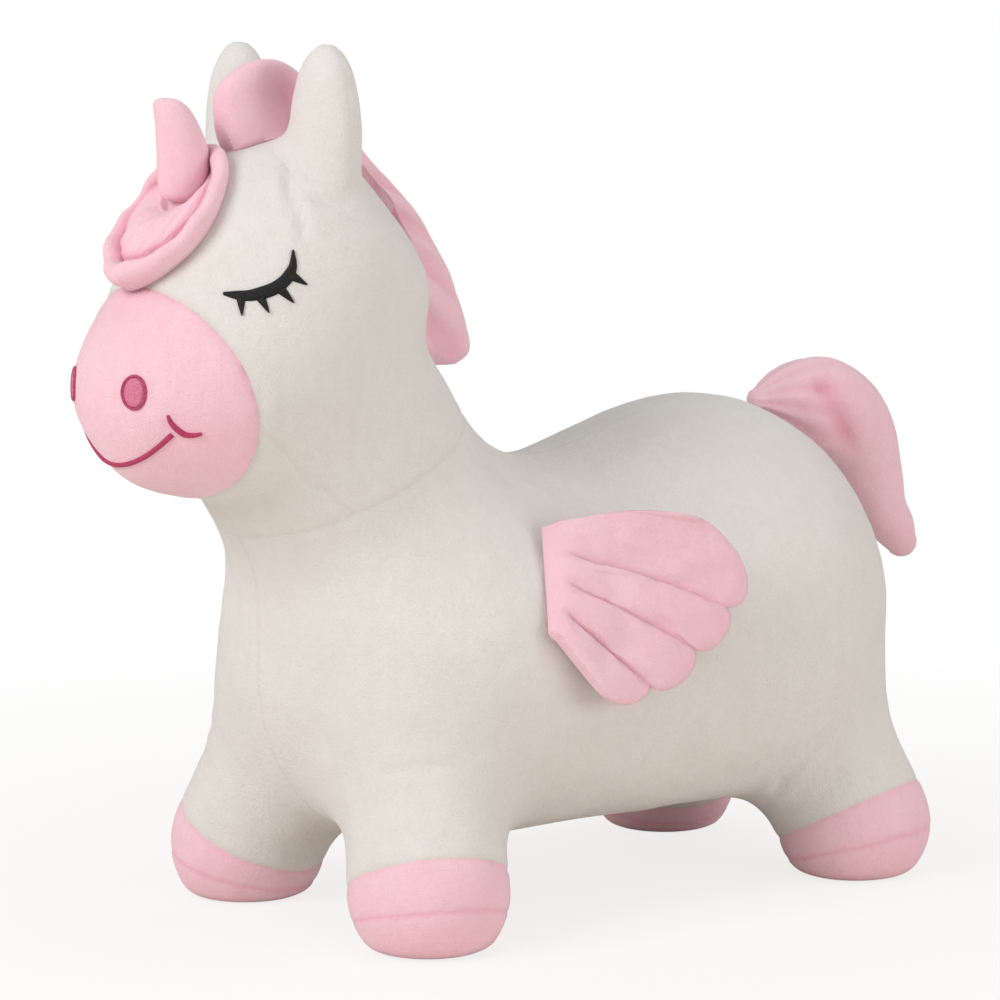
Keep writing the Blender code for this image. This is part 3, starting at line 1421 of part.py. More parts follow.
def build_slider(coil_low):
    """Plate under the coil with two lugs and a pin, and the pull that hangs from the pin."""
    top = coil_low - TOUCH_GAP
    plate = top - SLIDER_PLATE
    middle = ZIP_FRONT + SLIDER_FROM_END
    low = (-SLIDER_WIDTH / 2.0, middle - SLIDER_LENGTH / 2.0, plate)
    far = (SLIDER_WIDTH / 2.0, middle + SLIDER_LENGTH / 2.0, top)
    slider = add_object("zip_slider", box_mesh("zip_slider", low, far), "zip_metal")
    pin = Vector((0.0, middle, plate - PULL_PIN_DROP))
    reach = 2.0 * PULL_PIN_RADIUS
    inner = PULL_WIDTH / 2.0 + TOUCH_GAP
    for side, word in ((1, "left"), (-1, "right")):
        near, far = sorted((side * inner, side * (inner + SLIDER_LIP)))
        low, high = (near, middle - reach, pin.z - reach), (far, middle + reach, plate + SLIDER_PLATE / 2.0)
        unite(slider, add_cutter(word + "_lug", box_mesh(word + "_lug", low, high)))
    unite(slider, cross_rod("pull_pin", PULL_PIN_RADIUS, 2.0 * inner + SLIDER_LIP, pin))
    eye = PULL_PIN_RADIUS + TOUCH_GAP
    low = (-PULL_WIDTH / 2.0, -PULL_THICKNESS / 2.0, -PULL_LENGTH)
    far = (PULL_WIDTH / 2.0, PULL_THICKNESS / 2.0, -eye - SLIDER_LIP / 4.0)
    pull = add_object("zip_pull", box_mesh("zip_pull", low, far), "zip_metal")
    pull.location = pin
    unite(pull, cross_rod("pull_eye", eye + SLIDER_LIP / 2.0, PULL_WIDTH + TOUCH_GAP / 2.0, pin, 16))
    subtract(pull, cross_rod("pull_hole", eye, 2.0 * PULL_WIDTH, pin))


def build_valve():
    """A cup welded into the bladder's underside, with a push-in plug that draws down inside it."""
    low, _ = belly_level()
    rim = low + BLADDER_DEPTH
    roof = rim + VALVE_CUP_DEPTH
    cup = VALVE_CUP_RADIUS
    outer = cup + VALVE_WALL
    profile = [
        (VALVE_BORE_RADIUS, roof + VALVE_WALL),
        (outer, roof + VALVE_WALL),
        (outer, rim + VALVE_WALL),
        (VALVE_FLANGE_RADIUS, rim + VALVE_WALL),
        (VALVE_FLANGE_RADIUS, rim),
        (cup, rim),
        (cup, roof),
        (VALVE_BORE_RADIUS, roof),
        (VALVE_BORE_RADIUS, roof + VALVE_WALL),
    ]
    add_turned("valve_seat", profile, 24, "valve")
    head_top = roof - TOUCH_GAP
    stem = VALVE_BORE_RADIUS - TOUCH_GAP
    plug = [
        (0.0, head_top + PLUG_STEM_LENGTH),
        (stem * PLUG_TAPER_SHARE, head_top + PLUG_STEM_LENGTH),
        (stem, head_top),
        (PLUG_HEAD_RADIUS, head_top),
        (PLUG_HEAD_RADIUS, head_top - PLUG_HEAD_THICKNESS),
        (0.0, head_top - PLUG_HEAD_THICKNESS),
    ]
    add_turned("valve_plug", plug, 24, "valve")


SKIN = half_skin()
build_cover()
build_bladder()
ANIMAL = skin_cutter("animal_cutter", 2.0 * TOUCH_GAP)
build_forelock(build_horn())
build_mane(ANIMAL)
build_tail()
build_wings()
build_eyes()
build_nostrils()
build_mouth()
build_zip()
build_valve()
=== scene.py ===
"""Looks of the bouncy ride-on unicorn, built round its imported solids.

Metres, +Z up. The animal faces -Y and its left side is +X. The sizes are the solids' own sizes.
"""

import math

import bmesh
import bpy
import numpy as np
from mathutils import Matrix, Vector


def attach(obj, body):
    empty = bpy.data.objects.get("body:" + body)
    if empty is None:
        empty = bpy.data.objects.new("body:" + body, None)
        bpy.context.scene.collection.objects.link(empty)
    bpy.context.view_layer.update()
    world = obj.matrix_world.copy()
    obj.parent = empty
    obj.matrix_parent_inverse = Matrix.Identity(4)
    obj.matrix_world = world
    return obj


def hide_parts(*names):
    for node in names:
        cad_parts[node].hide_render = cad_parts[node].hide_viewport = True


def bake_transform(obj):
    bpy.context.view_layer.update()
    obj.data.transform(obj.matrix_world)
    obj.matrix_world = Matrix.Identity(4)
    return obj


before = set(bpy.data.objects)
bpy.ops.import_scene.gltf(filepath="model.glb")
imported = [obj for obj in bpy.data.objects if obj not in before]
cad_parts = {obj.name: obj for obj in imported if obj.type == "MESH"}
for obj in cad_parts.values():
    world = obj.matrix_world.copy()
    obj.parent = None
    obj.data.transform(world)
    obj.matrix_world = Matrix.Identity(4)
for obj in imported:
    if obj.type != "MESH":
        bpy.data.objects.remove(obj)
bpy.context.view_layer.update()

# Sizes of the solids, repeated here: half sizes run across, along and up
FEET_BEHIND = 0.012
CHEST_AHEAD, CHEST_HEIGHT, CHEST_HALVES = 0.104, 0.143, (0.113, 0.100, 0.104)
BARREL_BEHIND, BARREL_HEIGHT, BARREL_HALVES = 0.005, 0.140, (0.120, 0.155, 0.108)
RUMP_BEHIND, RUMP_HEIGHT, RUMP_HALVES = 0.104, 0.155, (0.122, 0.101, 0.118)
TORSO_BLEND = 0.050
BELLY_FLATTENING, BELLY_BLEND = 0.004, 0.020
NECK_FOOT_AHEAD, NECK_FOOT_RISE, NECK_FOOT_RADIUS = 0.019, 0.064, 0.075
NECK_LEAN, NECK_RISE, NECK_TOP_RADIUS, NECK_BLEND = 0.057, 0.090, 0.072, 0.030
HEAD_AHEAD, HEAD_RISE, HEAD_HALVES, HEAD_BLEND = 0.007, 0.054, (0.080, 0.079, 0.080), 0.012
MUZZLE_AHEAD, MUZZLE_DROP, MUZZLE_HALVES, MUZZLE_BLEND = 0.040, 0.050, (0.071, 0.080, 0.061), 0.040
EAR_SIDE, EAR_BEHIND, EAR_RISE, EAR_HALVES, EAR_BLEND = 0.040, 0.0015, 0.077, (0.023, 0.018, 0.052), 0.015
FOOT_SIDE, FOOT_REACH, FOOT_HEIGHT, FOOT_RADIUS = 0.085, 0.1535, 0.030, 0.0435
HIP_INWARD, HIP_TOWARDS_MIDDLE, HIP_HEIGHT = 0.030, 0.017, 0.102
LEG_RADIUS, LEG_BLEND = 0.042, 0.030
FLOOR_BLEND = 0.006
TOUCH_GAP = 0.0004
SEAM_SNAP = 0.003
MUZZLE_SEAM_AHEAD, MUZZLE_SEAM_LEAN_SHARE, MUZZLE_SEAM_BOW_RADIUS = 0.036, 0.3, 0.42
COLLAR_RISE, COLLAR_SLOPE_SHARE = 0.057, 0.495
CHIN_SEAM_DROP, CHIN_SEAM_SLOPE_SHARE = 0.033, 0.79
EAR_SEAM_DROP, EAR_SEAM_SLOPE_SHARE = 0.011, 0.5
LEG_SEAM_OUTWARD, LEG_SEAM_ALONG, LEG_SEAM_RADIUS = 0.025, 0.036, 0.107
BAND_HEIGHT, BAND_SIDE_SLOPE_SHARE, BAND_END_SLOPE_SHARE = 0.0385, 0.46, 0.20
SOLE_HEIGHT, SOLE_SIDE_SLOPE_SHARE, SOLE_END_SLOPE_SHARE = 0.0170, 0.25, 0.10
BELLY_PANEL_HALF_WIDTH, BELLY_PANEL_HALF_LENGTH, ZIP_OPENING_HALF = 0.050, 0.080, 0.0042
HORN_PLACE_DEGREES, HORN_ROOT_RADIUS, HORN_ROCK_CLEARANCE = 43.0, 0.0155, 0.0008
FORELOCK_PLACE_DEGREES, FORELOCK_HALF_LENGTH, FORELOCK_HALF_WIDTH = 60.0, 0.047, 0.035
FORELOCK_PAD, FORELOCK_RIM_HEIGHT, FORELOCK_RIM_WIDTH, FORELOCK_LIP = 0.0075, 0.0125, 0.011, 0.005
MANE_HALF_WIDTH, MANE_HEIGHT, MANE_SUNK = 0.0135, 0.053, 0.006
MANE_START_DEGREES, MANE_END_DEGREES = 25.0, 116.0
TAIL_PLACE_DEGREES, TAIL_LENGTH, TAIL_RADIUS = 67.0, 0.120, 0.0255
TAIL_ROOT_RADIUS, TAIL_CLEARANCE = 0.0065, 0.0008
WING_ROOT_BEHIND, WING_ROOT_RISE, WING_LENGTH = 0.0213, 0.0743, 0.113
WING_ROOT_RADIUS, WING_ROOT_CLEARANCE = 0.0022, 0.0045
WING_TIP_OUT, WING_BULGE, WING_THICKNESS, WING_EDGE_THICKNESS = 0.017, 0.013, 0.013, 0.0044
NOSTRIL_SIDE, NOSTRIL_ABOVE_MUZZLE = 0.029, 0.002
NOSTRIL_HALF_WIDTH, NOSTRIL_HALF_HEIGHT = 0.0068, 0.0085
FEET = Vector((0.0, FEET_BEHIND, 0.0))
CHEST = FEET + Vector((0.0, -CHEST_AHEAD, CHEST_HEIGHT))
BARREL = FEET + Vector((0.0, BARREL_BEHIND, BARREL_HEIGHT))
RUMP = FEET + Vector((0.0, RUMP_BEHIND, RUMP_HEIGHT))
NECK_FOOT = CHEST + Vector((0.0, -NECK_FOOT_AHEAD, NECK_FOOT_RISE))
NECK_TOP = NECK_FOOT + Vector((0.0, -NECK_LEAN, NECK_RISE))
HEAD = NECK_TOP + Vector((0.0, -HEAD_AHEAD, HEAD_RISE))
MUZZLE = HEAD + Vector((0.0, -MUZZLE_AHEAD, -MUZZLE_DROP))
EAR = HEAD + Vector((EAR_SIDE, EAR_BEHIND, EAR_RISE))
BELLY_CLEARANCE = BELLY_FLATTENING + max(
    CHEST_HEIGHT - CHEST_HALVES[2], BARREL_HEIGHT - BARREL_HALVES[2], RUMP_HEIGHT - RUMP_HALVES[2]
)
# Further than any ray runs inside the animal
FURTHEST = BARREL_HALVES[1] + RUMP_HALVES[1]
# The mane's crest: place along it, height and width
MANE_CREST_SHARES = (
    (0.00, 0.30, 0.45), (0.03, 0.60, 0.80), (0.09, 0.74, 1.00), (0.16, 0.76, 1.00), (0.22, 0.62, 0.95),
    (0.30, 0.36, 0.85), (0.40, 0.20, 0.80), (0.50, 0.17, 0.80), (0.62, 0.26, 0.85), (0.74, 0.42, 0.95),
    (0.85, 0.68, 1.00), (0.91, 0.86, 0.95), (0.95, 0.92, 0.88), (0.98, 0.70, 0.72), (1.00, 0.32, 0.45),
)
# The tail's path, backwards and up, and its radius along it
TAIL_PATH_SHARES = (
    (0.0, 0.0), (0.165, 0.005), (0.350, -0.020), (0.530, -0.095), (0.680, -0.240), (0.770, -0.425),
    (0.835, -0.590), (0.915, -0.704), (0.970, -0.780),
)
TAIL_RADIUS_SHARES = (0.0, 0.66, 1.0, 1.08, 1.02, 0.84, 0.62, 0.52, 0.38)
# The wing's partings, feather tips and foot of the sewn edge, backwards and up from its top
WING_PARTING_SHARES = ((0.620, 0.020), (0.815, -0.415), (0.602, -0.589), (0.340, -0.746), (0.059, -0.728))
WING_FEATHER_SHARES = ((0.930, -0.240), (0.789, -0.573), (0.550, -0.742), (0.183, -0.821))
WING_ROOT_SHARE = (-0.145, -0.431)
FEATHERS = len(WING_FEATHER_SHARES)

# Camera, as the photograph was taken
VIEW_DEGREES, TILT_DEGREES, VIEW_DISTANCE = 52.0, 7.5, 2.4
FOCAL_PIXELS, FRAME_PIXELS, SENSOR_MM = 4248.0, 1000.0, 36.0
AIM_SIDE, AIM_HEIGHT = -0.0306, 0.220
turn, tilt = math.radians(VIEW_DEGREES), math.radians(TILT_DEGREES)
RIGHT = np.array((math.cos(turn), math.sin(turn), 0.0))
BACK = np.array((math.sin(turn) * math.cos(tilt), -math.cos(turn) * math.cos(tilt), math.sin(tilt)))
UP = np.cross(BACK, RIGHT)
EYE = RIGHT * AIM_SIDE + np.array((0.0, FEET_BEHIND, AIM_HEIGHT)) + BACK * VIEW_DISTANCE
SIGHT_REACH, SIGHT_STEP = 0.4, 0.0005

# Fineness of the dressed skin, and thickness of its fabric
FINE_VOXEL = 0.0065
FABRIC = 0.0024
# The least slope that a seam's formula is taken to have
FLATTEST = 0.05
# Steps of a ray, and how often a crossing is narrowed down by halving
RAY_STEP = 0.005
HALVINGS = 12
# Edges of the cover panels are drawn sharp above this angle
SHARP_DEGREES = 55.0
# From the left half to the right
FLIP = np.array((-1.0, 1.0, 1.0))
ENDS = ((-1, "front"), (1, "hind"))
# Where the photograph's outline lies in from the solids' (more than zero) or out from it: place, reach and depth
REFITS = (((0.041, -0.125, 0.400), 0.031, 0.015), ((0.0, -0.268, 0.256), 0.025, -0.0040))


# The skin formula of the solids


def refit(p):
    """How far the dressed skin lies in from the solids'. Points are given in the left half."""
    return sum(depth * np.exp(-((p - middle) ** 2).sum(1) / reach**2) for middle, reach, depth in REFITS)


def swelling(p, middle, radii):
    """Distance to an ellipsoid, close near its surface."""
    q = (p - np.array(middle)) / np.array(radii)
    near = np.linalg.norm(q, axis=1)
    slope = np.linalg.norm(q / np.array(radii), axis=1)
    return near * (near - 1.0) / np.maximum(slope, 1e-9)


def limb(p, start, end, start_radius, end_radius):
    """Distance to a round-ended cone."""
    start, end = np.array(start), np.array(end)
    axis = end - start
    length = np.linalg.norm(axis)
    axis = axis / length
    lean = (start_radius - end_radius) / length
    along = (p - start) @ axis
    across = np.linalg.norm((p - start) - np.outer(along, axis), axis=1)
    foot = np.clip(along + across * lean / math.sqrt(1.0 - lean * lean), 0.0, length)
    radius = start_radius + (end_radius - start_radius) * foot / length
    return np.linalg.norm((p - start) - np.outer(foot, axis), axis=1) - radius


def soft_min(a, b, blend):
    h = np.maximum(blend - np.abs(a - b), 0.0) / blend
    return np.minimum(a, b) - h * h * blend / 4.0


def soft_max(a, b, blend):
    return -soft_min(-a, -b, blend)


def leg_ends(side, end):
    """Hip and foot middles of one leg: side is 1 for left, end is -1 for front."""
    hip = Vector((side * (FOOT_SIDE - HIP_INWARD), end * (FOOT_REACH - HIP_TOWARDS_MIDDLE), HIP_HEIGHT))
    foot = Vector((side * FOOT_SIDE, end * FOOT_REACH, FOOT_HEIGHT))
    return FEET + hip, FEET + foot


def skin(points):
    """Below zero inside the inflated animal and above zero outside. Both halves are alike."""
    p = np.array(points, float)
    p[:, 0] = np.abs(p[:, 0])
    torso = soft_min(swelling(p, CHEST, CHEST_HALVES), swelling(p, BARREL, BARREL_HALVES), TORSO_BLEND)
    torso = soft_min(torso, swelling(p, RUMP, RUMP_HALVES), TORSO_BLEND)
    body = soft_max(torso, BELLY_CLEARANCE - p[:, 2], BELLY_BLEND)
    body = soft_min(body, limb(p, NECK_FOOT, NECK_TOP, NECK_FOOT_RADIUS, NECK_TOP_RADIUS), NECK_BLEND)
    head = soft_min(swelling(p, HEAD, HEAD_HALVES), swelling(p, MUZZLE, MUZZLE_HALVES), MUZZLE_BLEND)
    body = soft_min(body, head, HEAD_BLEND)
    body = soft_min(body, swelling(p, EAR, EAR_HALVES), EAR_BLEND)
    for end, _ in ENDS:
        body = soft_min(body, limb(p, *leg_ends(1, end), LEG_RADIUS, FOOT_RADIUS), LEG_BLEND)
    return soft_max(body + refit(p), -p[:, 2], FLOOR_BLEND)


def unit(vectors):
    return vectors / np.linalg.norm(vectors, axis=1)[:, None]


def slopes_at(points):
    """How fast the skin formula rises along each axis."""
    slopes = [skin(points + TOUCH_GAP * axis) - skin(points - TOUCH_GAP * axis) for axis in np.eye(3)]
    return np.stack(slopes, 1) / (2.0 * TOUCH_GAP)


def outward(points):
    """Unit vectors square to the skin's level surfaces."""
    return unit(slopes_at(points))


def onto_skin(points, turns=8):
    points = np.array(points, float)
    for _ in range(turns):
        slopes = slopes_at(points)
        square = np.maximum((slopes * slopes).sum(1), 1e-6)
        points = points - slopes * (skin(points) / square)[:, None]
    return points


def cast(start, direction):
    """The first point where a ray from inside the animal leaves the skin, and the way out there."""
    start, direction = np.array(start, float), np.array(direction, float)
    direction = direction / np.linalg.norm(direction)
    line = start + np.outer(np.arange(0.0, FURTHEST, TOUCH_GAP * 2.0), direction)
    point = onto_skin(line[skin(line) > 0.0][:1])
    return Vector(point[0]), Vector(outward(point)[0])


def off_skin(start, direction, gap):
    """The place that lies a gap out from where a ray leaves the skin."""
    point, way = cast(start, direction)
    return point + way * gap


def cast_all(start, ways):
    """Where rays from a place, or places, inside the animal leave its skin, and the ways out there."""
    start, ways = np.array(start, float), unit(np.array(ways, float))
    reach = np.arange(0.0, FURTHEST, RAY_STEP)
    high = reach[np.stack([skin(start + ways * far) > 0.0 for far in reach]).argmax(0)]
    low = high - RAY_STEP
    for _ in range(HALVINGS):
        half = (low + high) / 2.0
        out = skin(start + ways * half[:, None]) > 0.0
        low, high = np.where(out, low, half), np.where(out, half, high)
    points = start + ways * high[:, None]
    return points, outward(points)


def sight(x, y):
    """The way from the eye through a pixel of the camera's frame."""
    middle = FRAME_PIXELS / 2.0
    return RIGHT * (x - middle) / FOCAL_PIXELS + UP * (middle - y) / FOCAL_PIXELS - BACK


def on_middle(x, y, side=0.0):
    """The point that the camera sees at a pixel of its frame, in the middle plane or one beside it."""
    ray = sight(x, y)
    return EYE - ray * ((EYE[0] - side) / ray[0])


def seen_at(x, y):
    """The point of the skin that the camera sees at a pixel of its frame."""
    ray = sight(x, y)
    reach = np.arange(VIEW_DISTANCE - SIGHT_REACH, VIEW_DISTANCE + SIGHT_REACH, SIGHT_STEP)
    line = EYE + np.outer(reach, ray / np.linalg.norm(ray))
    depth = skin(line)
    inside = depth < 0.0
    first = inside.argmax() if inside.any() else depth.argmin()
    return onto_skin(line[first][None])[0]


def ripple(p, size, seed=0.0):
    """Smooth bumps from -1 to 1, each about size across."""
    q = p * (math.pi / size)
    total = np.zeros(len(p))
    for index, way in enumerate(((1.0, 0.3, 0.2), (-0.35, 1.0, 0.25), (0.2, -0.3, 1.0), (0.8, 0.7, -0.5))):
        way = np.array(way)
        total += np.sin(q @ way + seed + 1.7 * index + 0.8 * np.sin(0.7 * (q @ way[::-1]) + index + seed))
    return total / 4.0


# Seams: each is a formula that is zero on the seam and above zero on its own panel's side


def beyond_collar(p):
    """Above zero on the head's side of the seam round the neck."""
    return p[:, 2] - NECK_FOOT.z - COLLAR_RISE - COLLAR_SLOPE_SHARE * (p[:, 1] - NECK_FOOT.y)


def in_muzzle(p):
    bow = p[:, 0] ** 2 / MUZZLE_SEAM_BOW_RADIUS
    lean = MUZZLE_SEAM_LEAN_SHARE * (p[:, 2] - MUZZLE.z)
    return (MUZZLE.y - MUZZLE_SEAM_AHEAD - lean + bow) - p[:, 1]


def below_chin_seam(p):
    return MUZZLE.z - CHIN_SEAM_DROP - CHIN_SEAM_SLOPE_SHARE * (p[:, 1] - MUZZLE.y) - p[:, 2]


def in_ear(p):
    return p[:, 2] - (EAR.z - EAR_SEAM_DROP - EAR_SEAM_SLOPE_SHARE * (p[:, 0] - EAR.x))


def ear_front(p):
    return EAR.y - p[:, 1]


def in_leg(p, end):
    reach = FEET.y + end * (FOOT_REACH + LEG_SEAM_ALONG)
    middle = np.array((FOOT_SIDE + LEG_SEAM_OUTWARD, reach, 0.0))
    return LEG_SEAM_RADIUS - np.linalg.norm(p - middle, axis=1)


def below_slant(p, height, side_slope, end_slope):
    side = side_slope * (p[:, 0] - FOOT_SIDE)
    return height + side + end_slope * (np.abs(p[:, 1] - FEET.y) - FOOT_REACH) - p[:, 2]


def in_hoof(p):
    return below_slant(p, BAND_HEIGHT, BAND_SIDE_SLOPE_SHARE, BAND_END_SLOPE_SHARE)


def in_sole(p):
    return below_slant(p, SOLE_HEIGHT, SOLE_SIDE_SLOPE_SHARE, SOLE_END_SLOPE_SHARE)


def in_belly_panel(p):
    across = np.abs(p[:, 0]) / BELLY_PANEL_HALF_WIDTH
    along = np.abs(p[:, 1] - FEET.y) / BELLY_PANEL_HALF_LENGTH
    reach = BELLY_PANEL_HALF_WIDTH * (1.0 - (across**3 + along**3) ** (1.0 / 3.0))
    return np.minimum(reach, 2.0 * BELLY_CLEARANCE - p[:, 2])


def region(p):
    """The panel that each point of the left half belongs to."""
    head = beyond_collar(p) > 0
    ear = head & (in_ear(p) > 0)
    muzzle = head & (in_muzzle(p) > 0)
    names = np.full(len(p), "body_side", dtype="U16")
    names[head] = "head_side"
    names[head & ~muzzle & (below_chin_seam(p) > 0)] = "chin_gusset"
    names[muzzle] = "muzzle"
    names[ear] = "ear_back"
    names[ear & (ear_front(p) > 0)] = "ear_front"
    for end, place in ENDS:
        leg = ~head & (in_leg(p, end) > 0)
        names[leg] = place + "_leg_cover"
        names[leg & (in_hoof(p) > 0)] = place + "_hoof_band"
        names[leg & (in_sole(p) > 0)] = place + "_hoof_sole"
    belly = (names == "body_side") & (in_belly_panel(p) > 0)
    names[belly] = "belly_panel"
    names[belly & (ZIP_OPENING_HALF - p[:, 0] > 0)] = "zip_opening"
    return names


def rises(field, p):
    """How fast a seam's formula rises along each axis."""
    return [(field(p + TOUCH_GAP * axis) - field(p)) / TOUCH_GAP for axis in np.eye(3)]


def snap(bm, field, values):
    """Points close to the seam are moved onto it along the skin, unless they lie on another seam."""
    on_seam = bm.verts.layers.int["on_seam"]
    out = bm.verts.layers.float_vector["out"]
    near = [v for v in bm.verts if TOUCH_GAP / 4.0 < abs(values[v.index]) < SEAM_SNAP and not v[on_seam]]
    if not near:
        return
    points = np.array([v.co for v in near])
    ways = np.array([v[out] for v in near])
    middle = np.array([v.is_boundary for v in near])
    slopes = np.stack(rises(field, points), 1)
    slopes -= ways * (slopes * ways).sum(1)[:, None]
    slopes[middle, 0] = 0.0
    steps = slopes * (field(points) / np.maximum((slopes * slopes).sum(1), FLATTEST))[:, None]
    moved = points - steps
    moved[middle, 0] = 0.0
    left = np.abs(field(moved))
    ways = outward(moved)
    ways[middle, 0] = 0.0
    for index, vertex in enumerate(near):
        if np.linalg.norm(steps[index]) <= 1.5 * SEAM_SNAP and left[index] <= TOUCH_GAP:
            vertex.co = moved[index]
            vertex[out] = Vector(ways[index]).normalized()
            values[vertex.index] = 0.0


def crossings(field, edges):
    """How far along each edge the field is zero, by halving."""
    if not edges:
        return []
    starts, ends = (np.array([edge.verts[at].co for edge in edges]) for at in (0, 1))
    rising = field(ends) > field(starts)
    low, high = np.zeros(len(edges)), np.ones(len(edges))
    for _ in range(HALVINGS):
        middle = (low + high) / 2.0
        past = (field(starts + (ends - starts) * middle[:, None]) > 0.0) == rising
        low, high = np.where(past, low, middle), np.where(past, middle, high)
    return [float(share) for share in (low + high) / 2.0]


def score(bm, field, within):
    """Runs an edge through each face whose middle is within, where the field is zero."""
    out = bm.verts.layers.float_vector["out"]
    on_seam = bm.verts.layers.int["on_seam"]
    bmesh.ops.triangulate(bm, faces=[face for face in bm.faces if len(face.verts) > 3])
    bm.verts.index_update()
    middles = np.array([face.calc_center_median() for face in bm.faces])
    chosen = [face for face, take in zip(bm.faces[:], within(middles)) if take]
    here = {vertex for face in chosen for vertex in face.verts}
    values = np.full(len(bm.verts), np.inf)
    found = field(np.array([v.co for v in bm.verts]))
    for vertex in here:
        values[vertex.index] = found[vertex.index]
    snap(bm, field, values)
    values[np.abs(values) < TOUCH_GAP] = 0.0
    value = {vertex: values[vertex.index] for vertex in bm.verts}
    edges = {edge for face in chosen for edge in face.edges}
    crossed = [edge for edge in edges if value[edge.verts[0]] * value[edge.verts[1]] < 0.0]
    crossed.sort(key=lambda edge: (edge.verts[0].index, edge.verts[1].index))
    for edge, share in zip(crossed, crossings(field, crossed)):
        a, b = edge.verts
        way, place = a[out].lerp(b[out], share), a.co.lerp(b.co, share)
        _, new = bmesh.utils.edge_split(edge, a, share)
        new.co = place
        new[out] = way.normalized()
        value[new] = 0.0
    for face in chosen:
        on_line = [vertex for vertex in face.verts if value[vertex] == 0.0]
        if len(on_line) == 2 and not set(on_line[0].link_edges) & set(on_line[1].link_edges):
            bmesh.utils.face_split(face, on_line[0], on_line[1])
    for vertex in here | set(value):
        if vertex.is_valid and value.get(vertex) == 0.0:
            vertex[on_seam] = 1
    weld_close(bm)


def weld_close(bm):
    """Makes one point of any two seam points that lie almost together along an edge."""
    on_seam = bm.verts.layers.int["on_seam"]
    target = {}
    for edge in bm.edges:
        kept, dropped = edge.verts
        if edge.calc_length() > SEAM_SNAP / 1.5 or not (kept[on_seam] and dropped[on_seam]):
            continue
        if dropped.is_boundary:
            kept, dropped = dropped, kept
        used = set(target) | set(target.values())
        if not dropped.is_boundary and not {kept, dropped} & used:
            target[dropped] = kept
    bmesh.ops.weld_verts(bm, targetmap=target)


# The fine skin


def faced_out(bm, mesh):
    """Puts the bmesh's faces into the mesh, looking outwards."""
    bmesh.ops.recalc_face_normals(bm, faces=bm.faces)
    bm.to_mesh(mesh)
    bm.free()
    return mesh


def add_ball(bm, middle, radii):
    ball = bmesh.ops.create_uvsphere(bm, u_segments=24, v_segments=16, radius=1.0)
    place = Matrix.Translation(middle) @ Matrix.Diagonal((*radii, 1.0))
    bmesh.ops.transform(bm, matrix=place, verts=ball["verts"])


def add_limb(bm, start, end, start_radius, end_radius):
    for share in np.linspace(0.0, 1.0, 5):
        radius = start_radius + share * (end_radius - start_radius)
        add_ball(bm, start.lerp(end, share), (radius,) * 3)


def rough_animal():
    """Balls along every swelling and limb, remeshed into one even skin."""
    bm = bmesh.new()
    middles = (CHEST, BARREL, RUMP, HEAD, MUZZLE)
    for middle, halves in zip(middles, (CHEST_HALVES, BARREL_HALVES, RUMP_HALVES, HEAD_HALVES, MUZZLE_HALVES)):
        add_ball(bm, middle, halves)
    add_limb(bm, NECK_FOOT, NECK_TOP, NECK_FOOT_RADIUS, NECK_TOP_RADIUS)
    for side in (-1, 1):
        add_ball(bm, (side * EAR.x, EAR.y, EAR.z), EAR_HALVES)
        for end, _ in ENDS:
            add_limb(bm, *leg_ends(side, end), LEG_RADIUS, FOOT_RADIUS)
    rough = placed("rough_animal", faced_out(bm, bpy.data.meshes.new("rough_animal")))
    remesh = rough.modifiers.new("even_skin", "REMESH")
    remesh.mode = "VOXEL"
    remesh.voxel_size = FINE_VOXEL
    graph = bpy.context.evaluated_depsgraph_get()
    mesh = bpy.data.meshes.new_from_object(rough.evaluated_get(graph))
    bpy.data.objects.remove(rough, do_unlink=True)
    return mesh


def settle(bm, ease, turns):
    """Moves every point a share of the way to the mean of its neighbours, then onto the skin."""
    bm.verts.index_update()
    points = np.array([v.co for v in bm.verts])
    middle = np.array([v.is_boundary for v in bm.verts])
    ends = np.array([[v.index for v in edge.verts] for edge in bm.edges])
    ends = np.concatenate([ends, ends[:, ::-1]])
    ends = ends[~middle[ends[:, 0]] | middle[ends[:, 1]]]
    count = np.maximum(np.bincount(ends[:, 0], minlength=len(points)), 1)[:, None]
    for _ in range(turns):
        total = np.zeros_like(points)
        np.add.at(total, ends[:, 0], points[ends[:, 1]])
        points = points + ease * (total / count - points)
        points[middle, 0] = 0.0
        points = onto_skin(points, 4)
        points[middle, 0] = 0.0
    for vertex, point in zip(bm.verts, points):
        vertex.co = point


